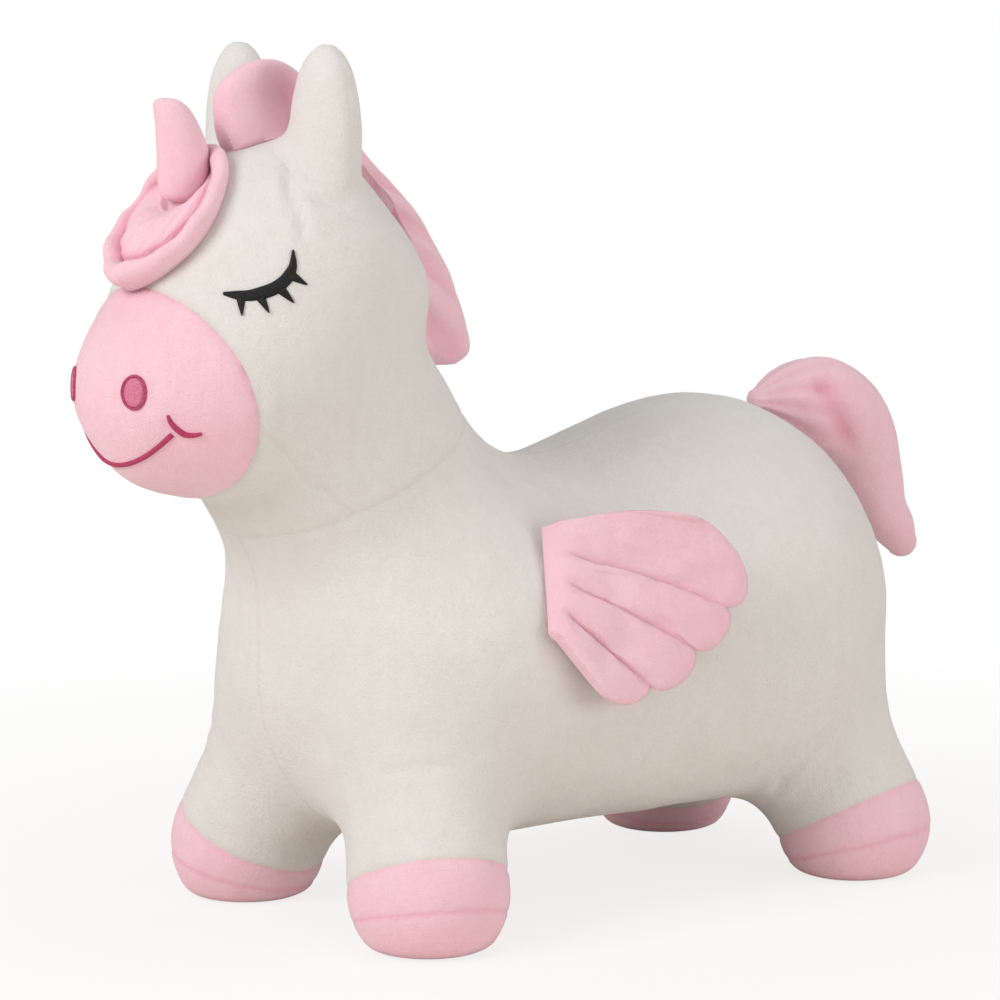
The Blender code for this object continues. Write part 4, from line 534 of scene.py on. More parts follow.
def fine_half():
    """Points, ways out, faces and panel names of the left half, scored along every seam."""
    bm = bmesh.new()
    bm.from_mesh(rough_animal())
    everything = bm.verts[:] + bm.edges[:] + bm.faces[:]
    bmesh.ops.bisect_plane(
        bm, geom=everything, dist=TOUCH_GAP, plane_co=(0, 0, 0), plane_no=(1, 0, 0), clear_inner=True
    )
    bmesh.ops.triangulate(bm, faces=bm.faces[:])
    settle(bm, 0.5, 6)
    out = bm.verts.layers.float_vector.new("out")
    bm.verts.layers.int.new("on_seam")
    for vertex, way in zip(bm.verts, outward(np.array([v.co for v in bm.verts]))):
        vertex[out] = Vector(way)
    head = lambda p: beyond_collar(p) > 0
    body = lambda p: beyond_collar(p) <= 0
    score(bm, beyond_collar, lambda p: p[:, 0] > -1.0)
    score(bm, in_muzzle, head)
    score(bm, below_chin_seam, lambda p: head(p) & (in_muzzle(p) <= 0))
    score(bm, in_ear, lambda p: p[:, 2] > HEAD.z)
    score(bm, ear_front, lambda p: head(p) & (in_ear(p) > 0))
    for end, _ in ENDS:
        leg = lambda p, end=end: body(p) & (in_leg(p, end) > 0)
        score(bm, lambda p, end=end: in_leg(p, end), body)
        score(bm, in_hoof, leg)
        score(bm, in_sole, leg)
    low = lambda p: (p[:, 2] < 2.0 * BELLY_CLEARANCE) & np.isin(region(p), ("body_side", "belly_panel", "zip_opening"))
    score(bm, in_belly_panel, low)
    score(bm, lambda p: ZIP_OPENING_HALF - p[:, 0], lambda p: np.isin(region(p), ("belly_panel", "zip_opening")))
    names = sorted(PANELS) + ["zip_opening"]
    panel = bm.faces.layers.int.new("panel")
    found = region(np.array([face.calc_center_median() for face in bm.faces]))
    for face, name in zip(bm.faces, found):
        face[panel] = names.index(name)
    bmesh.ops.subdivide_edges(bm, edges=bm.edges[:], cuts=1, use_grid_fill=True)
    bmesh.ops.triangulate(bm, faces=[face for face in bm.faces if len(face.verts) > 3])
    bm.verts.index_update()
    middle = np.array([v.is_boundary for v in bm.verts])
    points = onto_skin([v.co for v in bm.verts], 4)
    points[middle, 0] = 0.0
    ways = outward(points)
    ways[middle, 0] = 0.0
    faces = np.array([[v.index for v in face.verts] for face in bm.faces])
    owner = np.array([names[face[panel]] for face in bm.faces])
    bm.free()
    return points, ways, faces, owner


# Relief: how far seams, creases and folds draw the fabric in


def seam_distance(field, p):
    return np.abs(field(p)) / np.maximum(np.linalg.norm(rises(field, p), axis=0), FLATTEST)


def line_distance(p, line):
    """Distance of each point to a line of points, and how far along it the nearest place lies, from 0 to 1."""
    best = np.full(len(p), np.inf)
    along = np.zeros(len(p))
    for index in range(len(line) - 1):
        a, b = line[index], line[index + 1]
        span = b - a
        share = np.clip(((p - a) @ span) / (span @ span), 0.0, 1.0)
        gap = np.linalg.norm(p - a - share[:, None] * span, axis=1)
        nearer = gap < best
        best = np.where(nearer, gap, best)
        along = np.where(nearer, (index + share) / (len(line) - 1), along)
    return best, along


# Creases of the fabric by where they are seen: pixels, depth and half width
CREASES = (
    (((288, 150), (288, 172), (290, 196), (291, 224)), 0.0022, 0.0030),
    (((297, 190), (300, 212), (304, 244)), 0.0022, 0.0026),
    (((296, 189), (312, 198), (334, 205), (350, 207)), 0.0020, 0.0030),
    (((756, 806), (782, 780), (815, 742), (852, 700)), 0.0016, 0.0032),
    (((372, 779), (400, 771), (432, 767), (468, 767)), 0.0008, 0.0030),
    (((214, 742), (220, 760), (229, 784)), 0.0010, 0.0022),
    (((310, 470), (322, 490), (338, 508)), 0.0008, 0.0022),
    (((512, 470), (548, 486), (590, 488)), 0.0007, 0.0060),
    (((470, 452), (500, 470), (528, 496)), 0.0008, 0.0060),
)
CREASE_LINES = [([seen_at(*pixel) for pixel in pixels], depth, width) for pixels, depth, width in CREASES]
# How far to each side of a seam its line of painted shade reaches, and how much and how finely seams pucker
SEAM_LINE_REACH = 0.0013
PUCKER_SHARE, PUCKER_SIZE = 0.45, 0.0045
# Folds of the whole cover: depth, size and seed
WAVES = ((0.0007, 0.040, 2.0), (0.0004, 0.018, 5.0), (0.00015, 0.008, 8.0))


def relief(p):
    """How far in each point of the skin lies, and how much painted shade it gets along a seam, from 0 to 1."""
    head = beyond_collar(p) > 0
    muzzle = head & (in_muzzle(p) > 0)
    near_leg = ~head & (np.maximum(in_leg(p, -1), in_leg(p, 1)) > -0.02)
    middle = ~muzzle & ~(head & (below_chin_seam(p) > 0)) & (in_belly_panel(p) < 0.0)
    near_belly = ~head & (p[:, 2] < 2.0 * BELLY_CLEARANCE)
    pucker = 1.0 + PUCKER_SHARE * ripple(p, PUCKER_SIZE)
    # Each seam: its formula, depth, half width, how dark its painted shade is and where it runs
    seams = (
        (in_muzzle, 0.0013, 0.0020, 0.30, head),
        (beyond_collar, 0.0005, 0.0016, 0.14, True),
        (below_chin_seam, 0.0004, 0.0014, 0.12, head & ~muzzle),
        (in_ear, 0.0005, 0.0030, 0.07, head & (p[:, 2] > HEAD.z)),
        (ear_front, 0.0004, 0.0016, 0.10, head & (in_ear(p) > -0.004)),
        (None, 0.0005, 0.0015, 0.14, middle),
        (lambda q: in_leg(q, -1), 0.0001, 0.0030, 0.0, ~head),
        (lambda q: in_leg(q, 1), 0.0001, 0.0030, 0.02, ~head),
        (in_hoof, 0.0007, 0.0016, 0.22, near_leg),
        (in_sole, 0.0004, 0.0010, 0.45, near_leg),
        (in_belly_panel, 0.0008, 0.0020, 0.30, near_belly),
    )
    drop, painted_shade = np.zeros(len(p)), np.zeros(len(p))
    for field, depth, width, dark, where in seams:
        gap = seam_distance(field, p) if field else np.abs(p[:, 0])
        drop += depth * (np.exp(-gap / width) * where) * pucker
        drop -= 0.3 * depth * np.exp(-(((gap - 3.0 * width) / (1.6 * width)) ** 2)) * where
        # Painted shade along the seam's groove, darkest on the seam itself
        painted_shade = np.maximum(painted_shade, dark * np.exp(-((gap / SEAM_LINE_REACH) ** 2)) * where)
    for line, depth, width in CREASE_LINES:
        gap, along = line_distance(p, line)
        fade = np.clip(np.minimum(along, 1.0 - along) * 4.0, 0.0, 1.0)
        drop += depth * fade * np.exp(-((gap / width) ** 2))
        drop -= 0.5 * depth * fade * np.exp(-(((gap - 2.2 * width) / (1.3 * width)) ** 2))
    drop += sum(depth * ripple(p, size, seed) for depth, size, seed in WAVES)
    return drop * np.clip(p[:, 2] / FLOOR_BLEND, 0.0, 1.0), painted_shade


# Objects


def placed(name, data):
    obj = bpy.data.objects.new(name, data)
    bpy.context.scene.collection.objects.link(obj)
    return obj


def link(name, mesh):
    mesh.shade_smooth()
    return placed(name, mesh)


def points_of(obj):
    return np.array([v.co for v in obj.data.vertices])


def mark(mesh, values):
    """Stores how much painted shade each point gets in a seam or fold, for the materials."""
    mesh.attributes.new("painted_shade", "FLOAT", "POINT").data.foreach_set("value", np.asarray(values, np.float32))


def panel_object(name, points, ways, faces, painted_shade):
    """A closed sheet of fabric under a set of the fine skin's faces."""
    used, index = np.unique(faces, return_inverse=True)
    index = index.reshape(faces.shape)
    top = points[used]
    under = top - ways[used] * FABRIC
    count = len(used)
    edges = np.concatenate([index[:, [0, 1]], index[:, [1, 2]], index[:, [2, 0]]])
    border = edges[~np.isin(edges[:, 0] * count + edges[:, 1], edges[:, 1] * count + edges[:, 0])]
    a, b = border[:, 0], border[:, 1]
    walls = np.concatenate([np.stack([b, a, a + count], 1), np.stack([b, a + count, b + count], 1)])
    everything = np.concatenate([index, index[:, ::-1] + count, walls])
    mesh = bpy.data.meshes.new(name)
    mesh.from_pydata(np.concatenate([top, under]).tolist(), [], everything.tolist())
    mesh.update()
    mark(mesh, np.concatenate([painted_shade[used], painted_shade[used]]))
    obj = link(name, mesh)
    mesh.set_sharp_from_angle(angle=math.radians(SHARP_DEGREES))
    return obj


# Shapes shared with the solids

# Points round each ring of the horn and the tail
RING_POINTS = 48


def smooth_line(points, count):
    """Evenly numbered points, or values, along a Catmull-Rom curve through the given ones."""
    points = [np.array(point, float) for point in points]
    points = [2 * points[0] - points[1]] + points + [2 * points[-1] - points[-2]]
    line = []
    spans = len(points) - 3
    for step in range(count):
        at = step * spans / (count - 1)
        span = min(int(at), spans - 1)
        t = at - span
        p0, p1, p2, p3 = points[span : span + 4]
        curve = 2 * p1 + (p2 - p0) * t + (2 * p0 - 5 * p1 + 4 * p2 - p3) * t * t
        line.append(0.5 * (curve + (3 * p1 - p0 - 3 * p2 + p3) * t**3))
    return np.array(line)


def round_ring(middle, along, radius):
    """A circle of points square to a way in the middle plane."""
    along = along / np.linalg.norm(along)
    up = np.array((0.0, -along[2], along[1]))
    turns = [math.tau * step / RING_POINTS for step in range(RING_POINTS)]
    return [
        middle + np.array((radius * math.cos(turn), 0.0, 0.0)) + up * (radius * math.sin(turn)) for turn in turns
    ]


def solid_from(name, points, faces):
    mesh = bpy.data.meshes.new(name)
    mesh.from_pydata(np.array(points, float).tolist(), [], faces)
    bm = bmesh.new()
    bm.from_mesh(mesh)
    return faced_out(bm, mesh)


def lofted(name, rings):
    """A closed tube through rings of equally many points, capped at both ends."""
    count = len(rings[0])
    faces = []
    for ring in range(len(rings) - 1):
        for step in range(count):
            a = ring * count + step
            b = ring * count + (step + 1) % count
            faces.append((a, b, b + count, a + count))
    faces.append(tuple(reversed(range(count))))
    faces.append(tuple(range((len(rings) - 1) * count, len(rings) * count)))
    return solid_from(name, [point for ring in rings for point in ring], faces)


# How the cloth that is blown up behaves
CLOTH = {
    "quality": 5, "mass": 0.15, "tension_stiffness": 20.0, "compression_stiffness": 20.0, "shear_stiffness": 8.0,
    "bending_stiffness": 0.4, "use_pressure": True, "shrink_min": -0.01, "vertex_group_mass": "sewn",
}
CLOTH_FRAMES = 14


def puffed(obj, sewn, pressure, cap):
    """Cloth blown up from inside, held where it is sewn, with no point moved further than cap."""
    group = obj.vertex_groups.new(name="sewn")
    for index, weight in enumerate(sewn):
        if weight > 0.0:
            group.add([index], float(weight), "REPLACE")
    before = points_of(obj)
    cloth = obj.modifiers.new("puff", "CLOTH")
    for name, value in CLOTH.items():
        setattr(cloth.settings, name, value)
    cloth.settings.uniform_pressure_force = pressure
    cloth.settings.effector_weights.gravity = 0.0
    cloth.collision_settings.use_collision = False
    cloth.collision_settings.use_self_collision = False
    cloth.point_cache.frame_start = 1
    cloth.point_cache.frame_end = CLOTH_FRAMES
    scene = bpy.context.scene
    for number in range(1, CLOTH_FRAMES + 1):
        scene.frame_set(number)
    after = points_of(obj.evaluated_get(bpy.context.evaluated_depsgraph_get()))
    obj.modifiers.remove(cloth)
    scene.frame_set(1)
    moved = after - before
    length = np.linalg.norm(moved, axis=1)[:, None]
    moved *= np.minimum(1.0, cap / np.maximum(length, 1e-9))
    obj.data.vertices.foreach_set("co", (before + moved).ravel())
    obj.data.update()


# Horn

turn = math.radians(HORN_PLACE_DEGREES)
HORN_PIVOT = off_skin(HEAD, (0.0, -math.sin(turn), math.cos(turn)), HORN_ROOT_RADIUS + HORN_ROCK_CLEARANCE)
# Ripples of its plush: depth and size
HORN_RIPPLE_DEPTH, HORN_RIPPLE_SIZE = 0.0007, 0.012
# The horn's left and right edges as they are seen, from its tip down, in pixels: row, left, right
HORN_EDGES = (
    (97.6, 164.0, 168.0), (98.4, 159.0, 175.0), (100.5, 154.5, 181.0), (105.0, 151.5, 188.0), (111.0, 151.5, 193.0),
    (120.0, 152.5, 199.0), (130.0, 153.5, 204.0), (141.0, 154.0, 208.0), (152.0, 154.5, 210.5), (163.0, 154.8, 210.5),
    (172.0, 155.0, 210.0), (180.0, 155.6, 208.0), (187.0, 156.6, 205.5), (193.0, 158.0, 202.0), (197.5, 160.5, 198.0),
    (200.5, 165.0, 192.0), (202.0, 171.0, 184.0),
)


def horn_rings():
    """Middles and radii of the horn's rings."""
    middles, radii = [], []
    for row, left, right in smooth_line(HORN_EDGES, 47):
        near, far = on_middle(left, row), on_middle(right, row)
        middles.append((near + far) / 2.0)
        radii.append(np.linalg.norm(far - near) * RIGHT[1] / 2.0)
    return np.array(middles), np.array(radii)


def make_horn():
    pivot = np.array(HORN_PIVOT)
    points = np.concatenate([round_ring(middle, UP, radius) for middle, radius in zip(*horn_rings())])
    high = np.clip((points[:, 2] - pivot[2]) / 0.010, 0.0, 1.0)
    points += unit(points - pivot) * (HORN_RIPPLE_DEPTH * high * ripple(points, HORN_RIPPLE_SIZE, 3.0))[:, None]
    obj = link("horn_plush", lofted("horn_plush", points.reshape(-1, RING_POINTS, 3)))
    # Painted shade on the horn's foot, more than 18 mm below its pivot, down by the head
    mark(obj.data, 0.5 * np.clip((pivot[2] - 0.018 - points[:, 2]) / 0.004, 0.0, 1.0))
    return obj


# Forelock

FORELOCK_POINTS = 120
# The rolled rim is this share of the solid's rim
RIM_SHARE = 0.78
# The pad dips by this share towards the horn's foot, within this reach of the horn
DIP_SHARE, DIP_REACH = 0.72, 0.010
# Pleats of the pad: depth and spacing
PLEAT_DEPTH, PLEAT_SPACING = 0.0007, 0.0085


def make_forelock():
    """A leaf by its profile from the hidden middle out over the rolled rim and back in over the pad."""
    turn = math.radians(FORELOCK_PLACE_DEGREES)
    way = np.array((0.0, -math.sin(turn), math.cos(turn)))
    down = np.array((0.0, -math.cos(turn), -math.sin(turn)))
    rim = RIM_SHARE * FORELOCK_RIM_WIDTH / FORELOCK_HALF_WIDTH
    # Each step of the profile: share of the way out, share of the rim's height, and 1 on the rolled rim
    profile = [(0.05, 0.0, 0.0), (0.4, 0.0, 0.0), (0.75, 0.0, 0.0), (1.0 - 0.1 * rim, 0.08, 1.0)]
    for step in range(11):
        angle = math.radians(-40.0 + 26.0 * step)
        profile.append((1.0 - 0.5 * rim * (1.0 - math.cos(angle)), 0.56 + 0.44 * math.sin(angle), 1.0))
    pad = FORELOCK_PAD / FORELOCK_RIM_HEIGHT
    profile += [(share, pad + 0.28 * (1.0 - share**2), 0.0) for share in np.linspace(1.0 - 1.25 * rim, 0.02, 26)]
    share, lift, rolled = (np.repeat(values, FORELOCK_POINTS)[:, None] for values in zip(*profile))
    angle = np.tile(np.arange(FORELOCK_POINTS) * math.tau / FORELOCK_POINTS, len(profile))[:, None]
    low = np.maximum(np.sin(angle), 0.0)
    side = FORELOCK_HALF_WIDTH * share * np.cos(angle) * (1.0 - 0.22 * low**2)
    drop = FORELOCK_HALF_LENGTH * share * np.sin(angle)
    foot, out = cast_all(HEAD, way * HEAD_HALVES[2] + side * np.eye(3)[0] + down * drop)
    wave = 1.0 + 0.08 * np.sin(5.0 * angle + 1.0) * rolled + 0.05 * np.sin(11.0 * angle) * rolled
    high = np.maximum(-np.sin(angle), 0.0)
    rise = FORELOCK_RIM_HEIGHT * lift * wave * (1.0 - 0.25 * high * rolled) + FORELOCK_LIP * low * share * lift
    pleat = PLEAT_DEPTH * np.sin(side * math.tau / PLEAT_SPACING + 9.0 * share) * (1.0 - rolled) * (lift > 0.0)
    rise = rise + pleat * np.clip(4.0 * share, 0.0, 1.0) + 2.0 * TOUCH_GAP
    # The pad dips towards the horn's foot and lies hollow under it
    middles, radii = horn_rings()

    def beyond_horn(level):
        return (np.linalg.norm((foot + out * level)[:, None] - middles, axis=2) - radii).min(1)[:, None]

    dip = np.exp(-((np.maximum(beyond_horn(rise), 0.0) / DIP_REACH) ** 2)) * (1.0 - rolled)
    rise = rise * (1.0 - DIP_SHARE * dip)
    clear = np.full_like(rise, 2.0 * TOUCH_GAP)
    for part in np.linspace(0.02, 1.0, 50):
        level = np.maximum(rise * part, 2.0 * TOUCH_GAP)
        clear = np.where(beyond_horn(level) > 2.0 * TOUCH_GAP, level, clear)
    hollow = (lift > 0.0) & ~(beyond_horn(rise) > 2.0 * TOUCH_GAP)
    rise = np.where(hollow, np.minimum(clear, rise), rise)
    obj = link("forelock_plush", lofted("forelock_plush", (foot + out * rise).reshape(-1, FORELOCK_POINTS, 3)))
    # Painted shade in the crease at the inner foot of the rolled rim; the same band also holds the cloth
    inner = (np.exp(-(((share - (1.0 - 1.15 * rim)) / 0.07) ** 2)) * (lift > 0.3))[:, 0]
    mark(obj.data, inner)
    held = (lift[:, 0] < 0.1) | (inner > 0.6) | (rolled[:, 0] < 0.5)
    puffed(obj, held, pressure=1.5, cap=0.0012)
    return obj


# Mane

MANE_RINGS, MANE_POINTS = 110, 34
# Folds of the back part: how closely they follow each other, how far they lean and how far they stand out
FOLD_PACE, FOLD_LEAN, FOLD_SHARE = 24.0, 2.6, 0.16
# How far round past level each ring starts and ends
MANE_TUCK_DEGREES = 35.0
# The dent that the ears press into the front lobe: place along the crest, and depth
DENT_PLACE, DENT_DEPTH = 0.19, 0.0070


def make_mane():
    """Rings square to the crest, with the folds of the soft back part."""
    crest = np.array(MANE_CREST_SHARES)
    places = np.interp(np.linspace(0.0, 1.0, MANE_RINGS), np.linspace(0.0, 1.0, len(crest)), crest[:, 0])
    tall, wide = smooth_line(crest[:, 1:], MANE_RINGS).T
    sweep = math.radians(MANE_START_DEGREES + MANE_END_DEGREES)
    rings, painted_shade = [], []
    turns = sweep * places - math.radians(MANE_START_DEGREES)
    ways = np.stack([np.zeros_like(turns), np.sin(turns), np.cos(turns)], 1)
    for place, high, broad, foot, way in zip(places, tall, wide, cast_all(HEAD, ways)[0], ways):
        rise = MANE_HEIGHT * high
        back = min(max((place - 0.35) / 0.2, 0.0), 1.0)
        ring = []
        for step in range(MANE_POINTS):
            angle = (math.pi + math.radians(2.0 * MANE_TUCK_DEGREES)) * step / (MANE_POINTS - 1)
            angle = math.radians(-MANE_TUCK_DEGREES) + angle
            x = math.copysign(abs(math.cos(angle)) ** 0.75, math.cos(angle))
            z = math.sin(angle)
            height = min(-MANE_SUNK * 0.75 if z < -0.4 else rise * max(z, 0.0) ** 0.8, rise)
            slant = place * FOLD_PACE - FOLD_LEAN * max(z, 0.0)
            fold = math.sin(math.tau * slant / 3.2 + 0.6 * math.sin(3.0 * slant)) * back * max(1.0 - z, 0.0) ** 0.4
            side = MANE_HALF_WIDTH * broad * x * (1.0 + FOLD_SHARE * fold)
            dent = math.exp(-(((place - DENT_PLACE) / 0.09) ** 2) - ((z - 0.45) / 0.40) ** 2) * (1.0 - back)
            side -= math.copysign(DENT_DEPTH * dent * min(abs(x) * 2.0, 1.0), x)
            ring.append(foot + way * height + np.array((side, 0.0, 0.0)))
            # Painted shade in the back part's fold valleys, in the ears' dent and along the mane's foot by the head
            painted_shade.append(0.5 * max(-fold, 0.0) * back + 0.55 * dent + (0.15 if z < 0.05 else 0.0))
        rings.append(ring)
    obj = link("mane_plush", lofted("mane_plush", rings))
    mark(obj.data, np.clip(painted_shade, 0.0, 1.0))
    return obj


# Tail

# The crease of the tail as it is seen, in pixels
TAIL_CREASE = ((826, 388), (836, 410), (846, 436), (858, 466), (872, 492))
TAIL_CREASE_DEPTH, TAIL_CREASE_REACH = 0.0055, 0.0065
TAIL_FOLD_DEPTH = 0.0009
TAIL_STEPS = 60


def tube_rings(path, radii):
    """Rings along a path from its last point to its first, with round ends."""
    last = len(path) - 1

    def cap(here, inner, facing, degrees):
        way = path[here] - path[inner]
        way = way / np.linalg.norm(way)
        turns = [math.radians(value) for value in degrees]
        places = [path[here] + way * radii[here] * math.sin(turn) for turn in turns]
        return [round_ring(at, facing * way, radii[here] * math.cos(turn)) for at, turn in zip(places, turns)]

    rings = cap(last, last - 1, 1.0, (80.0, 60.0, 40.0, 20.0))
    for index in range(last, -1, -1):
        rings.append(round_ring(path[index], path[min(index + 1, last)] - path[max(index - 1, 0)], radii[index]))
    return rings + cap(0, 1, -1.0, (20.0, 40.0, 60.0, 80.0))


def make_tail():
    turn = math.radians(TAIL_PLACE_DEGREES)
    pivot = off_skin(RUMP, (0.0, math.cos(turn), math.sin(turn)), TAIL_ROOT_RADIUS + TAIL_CLEARANCE)
    places = [pivot + Vector((0.0, TAIL_LENGTH * y, TAIL_LENGTH * z)) for y, z in TAIL_PATH_SHARES]
    path = smooth_line(places, TAIL_STEPS)
    sizes = smooth_line([max(TAIL_RADIUS * share, TAIL_ROOT_RADIUS) for share in TAIL_RADIUS_SHARES], TAIL_STEPS)
    sizes = sizes * (1.0 - 0.17 * np.exp(-(((np.linspace(0.0, 1.0, TAIL_STEPS) - 0.58) / 0.17) ** 2)))
    rings = tube_rings(path, sizes)
    points = np.concatenate(rings)
    along = np.repeat(np.linspace(1.0, 0.0, len(rings)), RING_POINTS)
    angle = np.tile(np.arange(RING_POINTS) * math.tau / RING_POINTS, len(rings))
    out = points - np.repeat([np.mean(ring, axis=0) for ring in rings], RING_POINTS, axis=0)
    length = np.maximum(np.linalg.norm(out, axis=1)[:, None], 1e-9)
    gather = np.exp(-(((along - 0.16) / 0.16) ** 2))
    fold = np.sin(9.0 * angle + 1.4 * np.sin(7.0 * along)) * gather
    crease = np.zeros(len(points))
    for side in (-1.0, 1.0):
        line = [on_middle(x, y, TAIL_RADIUS * 0.85) * (side, 1.0, 1.0) for x, y in TAIL_CREASE]
        crease = np.maximum(crease, np.exp(-((line_distance(points, line)[0] / TAIL_CREASE_REACH) ** 2)))
    relief_out = (TAIL_FOLD_DEPTH * fold - TAIL_CREASE_DEPTH * crease)[:, None]
    points += out / length * relief_out * np.minimum(length / 0.010, 1.0)
    obj = link("tail_plush", lofted("tail_plush", points.reshape(-1, RING_POINTS, 3)))
    # Painted shade in the gathered folds' valleys and in the tail's crease
    mark(obj.data, np.clip(0.25 * np.clip(-fold, 0.0, 1.0) + 0.7 * crease, 0.0, 1.0))
    return obj


# Wings: a grid of rows from the sewn edge to the feather tips, and columns from the top feather down

WING_ROWS, WING_COLUMNS = 26, 81
# The stitched channels: where along the feathers they start, and their half width as a share of the wing
CHANNEL_START, CHANNEL_HALF_WIDTH = 0.08, 0.010


def wing_root():
    """Top and bottom of the left wing's sewn edge, standing just clear of the flank."""
    top = CHEST + Vector((0.0, WING_ROOT_BEHIND, WING_ROOT_RISE))
    bottom = top + Vector((0.0, WING_ROOT_SHARE[0], WING_ROOT_SHARE[1])) * WING_LENGTH
    return [off_skin(place, (1.0, 0.0, 0.0), WING_ROOT_RADIUS + WING_ROOT_CLEARANCE) for place in (top, bottom)]


def feather_end(root, v):
    """The tip line's (y, z) at v from the top feather to the bottom one: each feather is half an oval."""
    index = min(int(v * FEATHERS), FEATHERS - 1)
    turn = math.pi * (v * FEATHERS - index)
    first, last = np.array(WING_PARTING_SHARES[index]), np.array(WING_PARTING_SHARES[index + 1])
    middle = (first + last) / 2.0
    longest = np.array(WING_FEATHER_SHARES[index]) - middle
    share = middle + (first - last) / 2.0 * math.cos(turn) + longest * math.sin(turn)
    return root.y + share[0] * WING_LENGTH, root.z + share[1] * WING_LENGTH


def wing_grid():
    """Middles, ways out and half thicknesses of the left wing."""
    top, bottom = wing_root()
    u = np.linspace(0.0, 1.0, WING_ROWS)[:, None]
    v = np.linspace(0.0, 1.0, WING_COLUMNS)
    root = np.array([top.lerp(bottom, share) for share in v])
    end = np.array([feather_end(top, share) for share in v])
    bulge = 0.4 * WING_BULGE * np.sin(math.pi * u) * (1.0 - v) ** 2
    y = root[:, 1] + u * (end[:, 0] - root[:, 1])
    z = root[:, 2] + u * (end[:, 1] - root[:, 2]) + bulge
    # The first and last lines are spread a little, so that none cross
    first, last = np.clip(1.0 - v / 0.06, 0.0, 1.0), np.clip(1.0 - (1.0 - v) / 0.06, 0.0, 1.0)
    y = y - 0.0013 * u * last
    z = z + 0.0016 * u * (first - 0.6 * last)
    puff = np.abs(np.sin(math.pi * FEATHERS * v)) ** 0.5
    sewn = np.clip((u - CHANNEL_START) / 0.10, 0.0, 1.0)
    puff = np.where((v > 0.0) & (v < 1.0), 1.0 - sewn * (1.0 - puff), 0.0)
    edge = WING_EDGE_THICKNESS / 5.0
    rim = np.maximum(1.0 - (2.0 * np.abs(u - 0.5)) ** 3.2, 0.0) ** 0.5
    half = edge + (1.12 * WING_THICKNESS / 2.0 - edge) * puff * rim
    spread = root[:, 0] + (BARREL_HALVES[0] + WING_TIP_OUT - root[:, 0]) * u**0.8
    flat = np.zeros(y.size)
    feet, ways = cast_all(np.stack([flat, y.ravel(), z.ravel()], 1), np.stack([flat + 1.0, flat, flat], 1))
    flank = feet[:, 0].reshape(y.shape)
    x = np.maximum(spread, flank + half.max(axis=1)[:, None] + WING_ROOT_CLEARANCE / 2.0)
    return np.stack([np.where(u == 0.0, root[:, 0], x), y, z], 2), ways.reshape(*y.shape, 3), half[:, :, None]


def two_sheets(over, under):
    """Points and faces of two grids, one over the other, joined round their rim."""
    rows, columns = over.shape[:2]
    count = rows * columns
    faces = []
    for row in range(rows - 1):
        for column in range(columns - 1):
            a = row * columns + column
            b, c, d = a + 1, a + columns + 1, a + columns
            faces += [(a, b, c, d), (a + count, d + count, c + count, b + count)]
    rim = list(range(columns)) + [row * columns + columns - 1 for row in range(1, rows)]
    rim += [(rows - 1) * columns + column for column in range(columns - 2, -1, -1)]
    rim += [row * columns for row in range(rows - 2, 0, -1)]
    faces += [(b, a, a + count, b + count) for a, b in zip(rim, rim[1:] + rim[:1])]
    return np.concatenate([over.reshape(-1, 3), under.reshape(-1, 3)]), faces


def make_wing():
    """Points and faces of the left wing, how deep each point lies in a channel (which sets its painted shade), and
    which are sewn.
    """
    middles, ways, halves = wing_grid()
    points, faces = two_sheets(middles + ways * halves, middles - ways * halves)
    v = np.tile(np.linspace(0.0, 1.0, WING_COLUMNS), WING_ROWS)
    u = np.repeat(np.linspace(0.0, 1.0, WING_ROWS), WING_COLUMNS)
    off = np.abs(v * FEATHERS - np.round(v * FEATHERS)) / FEATHERS
    channel = np.exp(-((off / CHANNEL_HALF_WIDTH) ** 2)) * np.clip((u - CHANNEL_START) / 0.06, 0.0, 1.0)
    channel = np.where((v < 0.02) | (v > 0.98), 0.0, channel)
    edge = (u < 0.06) | (u > 0.94) | (v < 0.09) | (v > 0.91)
    return points, faces, np.tile(channel, 2), np.tile(edge | (channel > 0.5), 2)


def wadding_in(points):
    """The filling of a wing, within its cover's two faces."""
    over, under = points.reshape(2, WING_ROWS, WING_COLUMNS, 3)[:, 3:-3, 6:-6]
    middle, half = (over + under) / 2.0, (over - under) / 2.0
    size = np.linalg.norm(half, axis=2)[:, :, None]
    half = half * np.maximum(1.0 - FABRIC / np.maximum(size, 1e-6), 0.04)
    return two_sheets(middle + half, middle - half)


# Embroidery, with the places that are seen in pixels

# The closed lid by its upper and lower edge, and each lash by its root, half width and tip
LID_UPPER = (
    (223, 292), (235, 291), (248, 290), (260, 287), (271, 283), (280, 277), (286, 270), (290, 262), (292, 250),
)
LID_LOWER = (
    (224, 295), (236, 299), (250, 301), (264, 299), (276, 295), (286, 288), (293, 279), (296, 267), (294, 251),
)
LASHES = (
    ((241, 298), 4.0, (242, 316)), ((261, 298), 4.0, (269, 313)), ((281, 290), 4.2, (294, 303)),
    ((292, 276), 4.2, (307, 285)),
)
# The smile's ends rise as the square of the way out from the middle
MOUTH_RISE, MOUTH_LOWEST, MOUTH_REACH, MOUTH_HALF_WIDTH = 10.5, 0.2625, 0.0425, 0.0014
TICK = ((168, 415), (171, 422), (177, 429), (185, 434), (194, 435), (202, 433))


# How far a stitched band's edges stand over the skin, and how deep its underside sinks into it
STITCH_FOOT, STITCH_SUNK = 0.0004, -0.0006


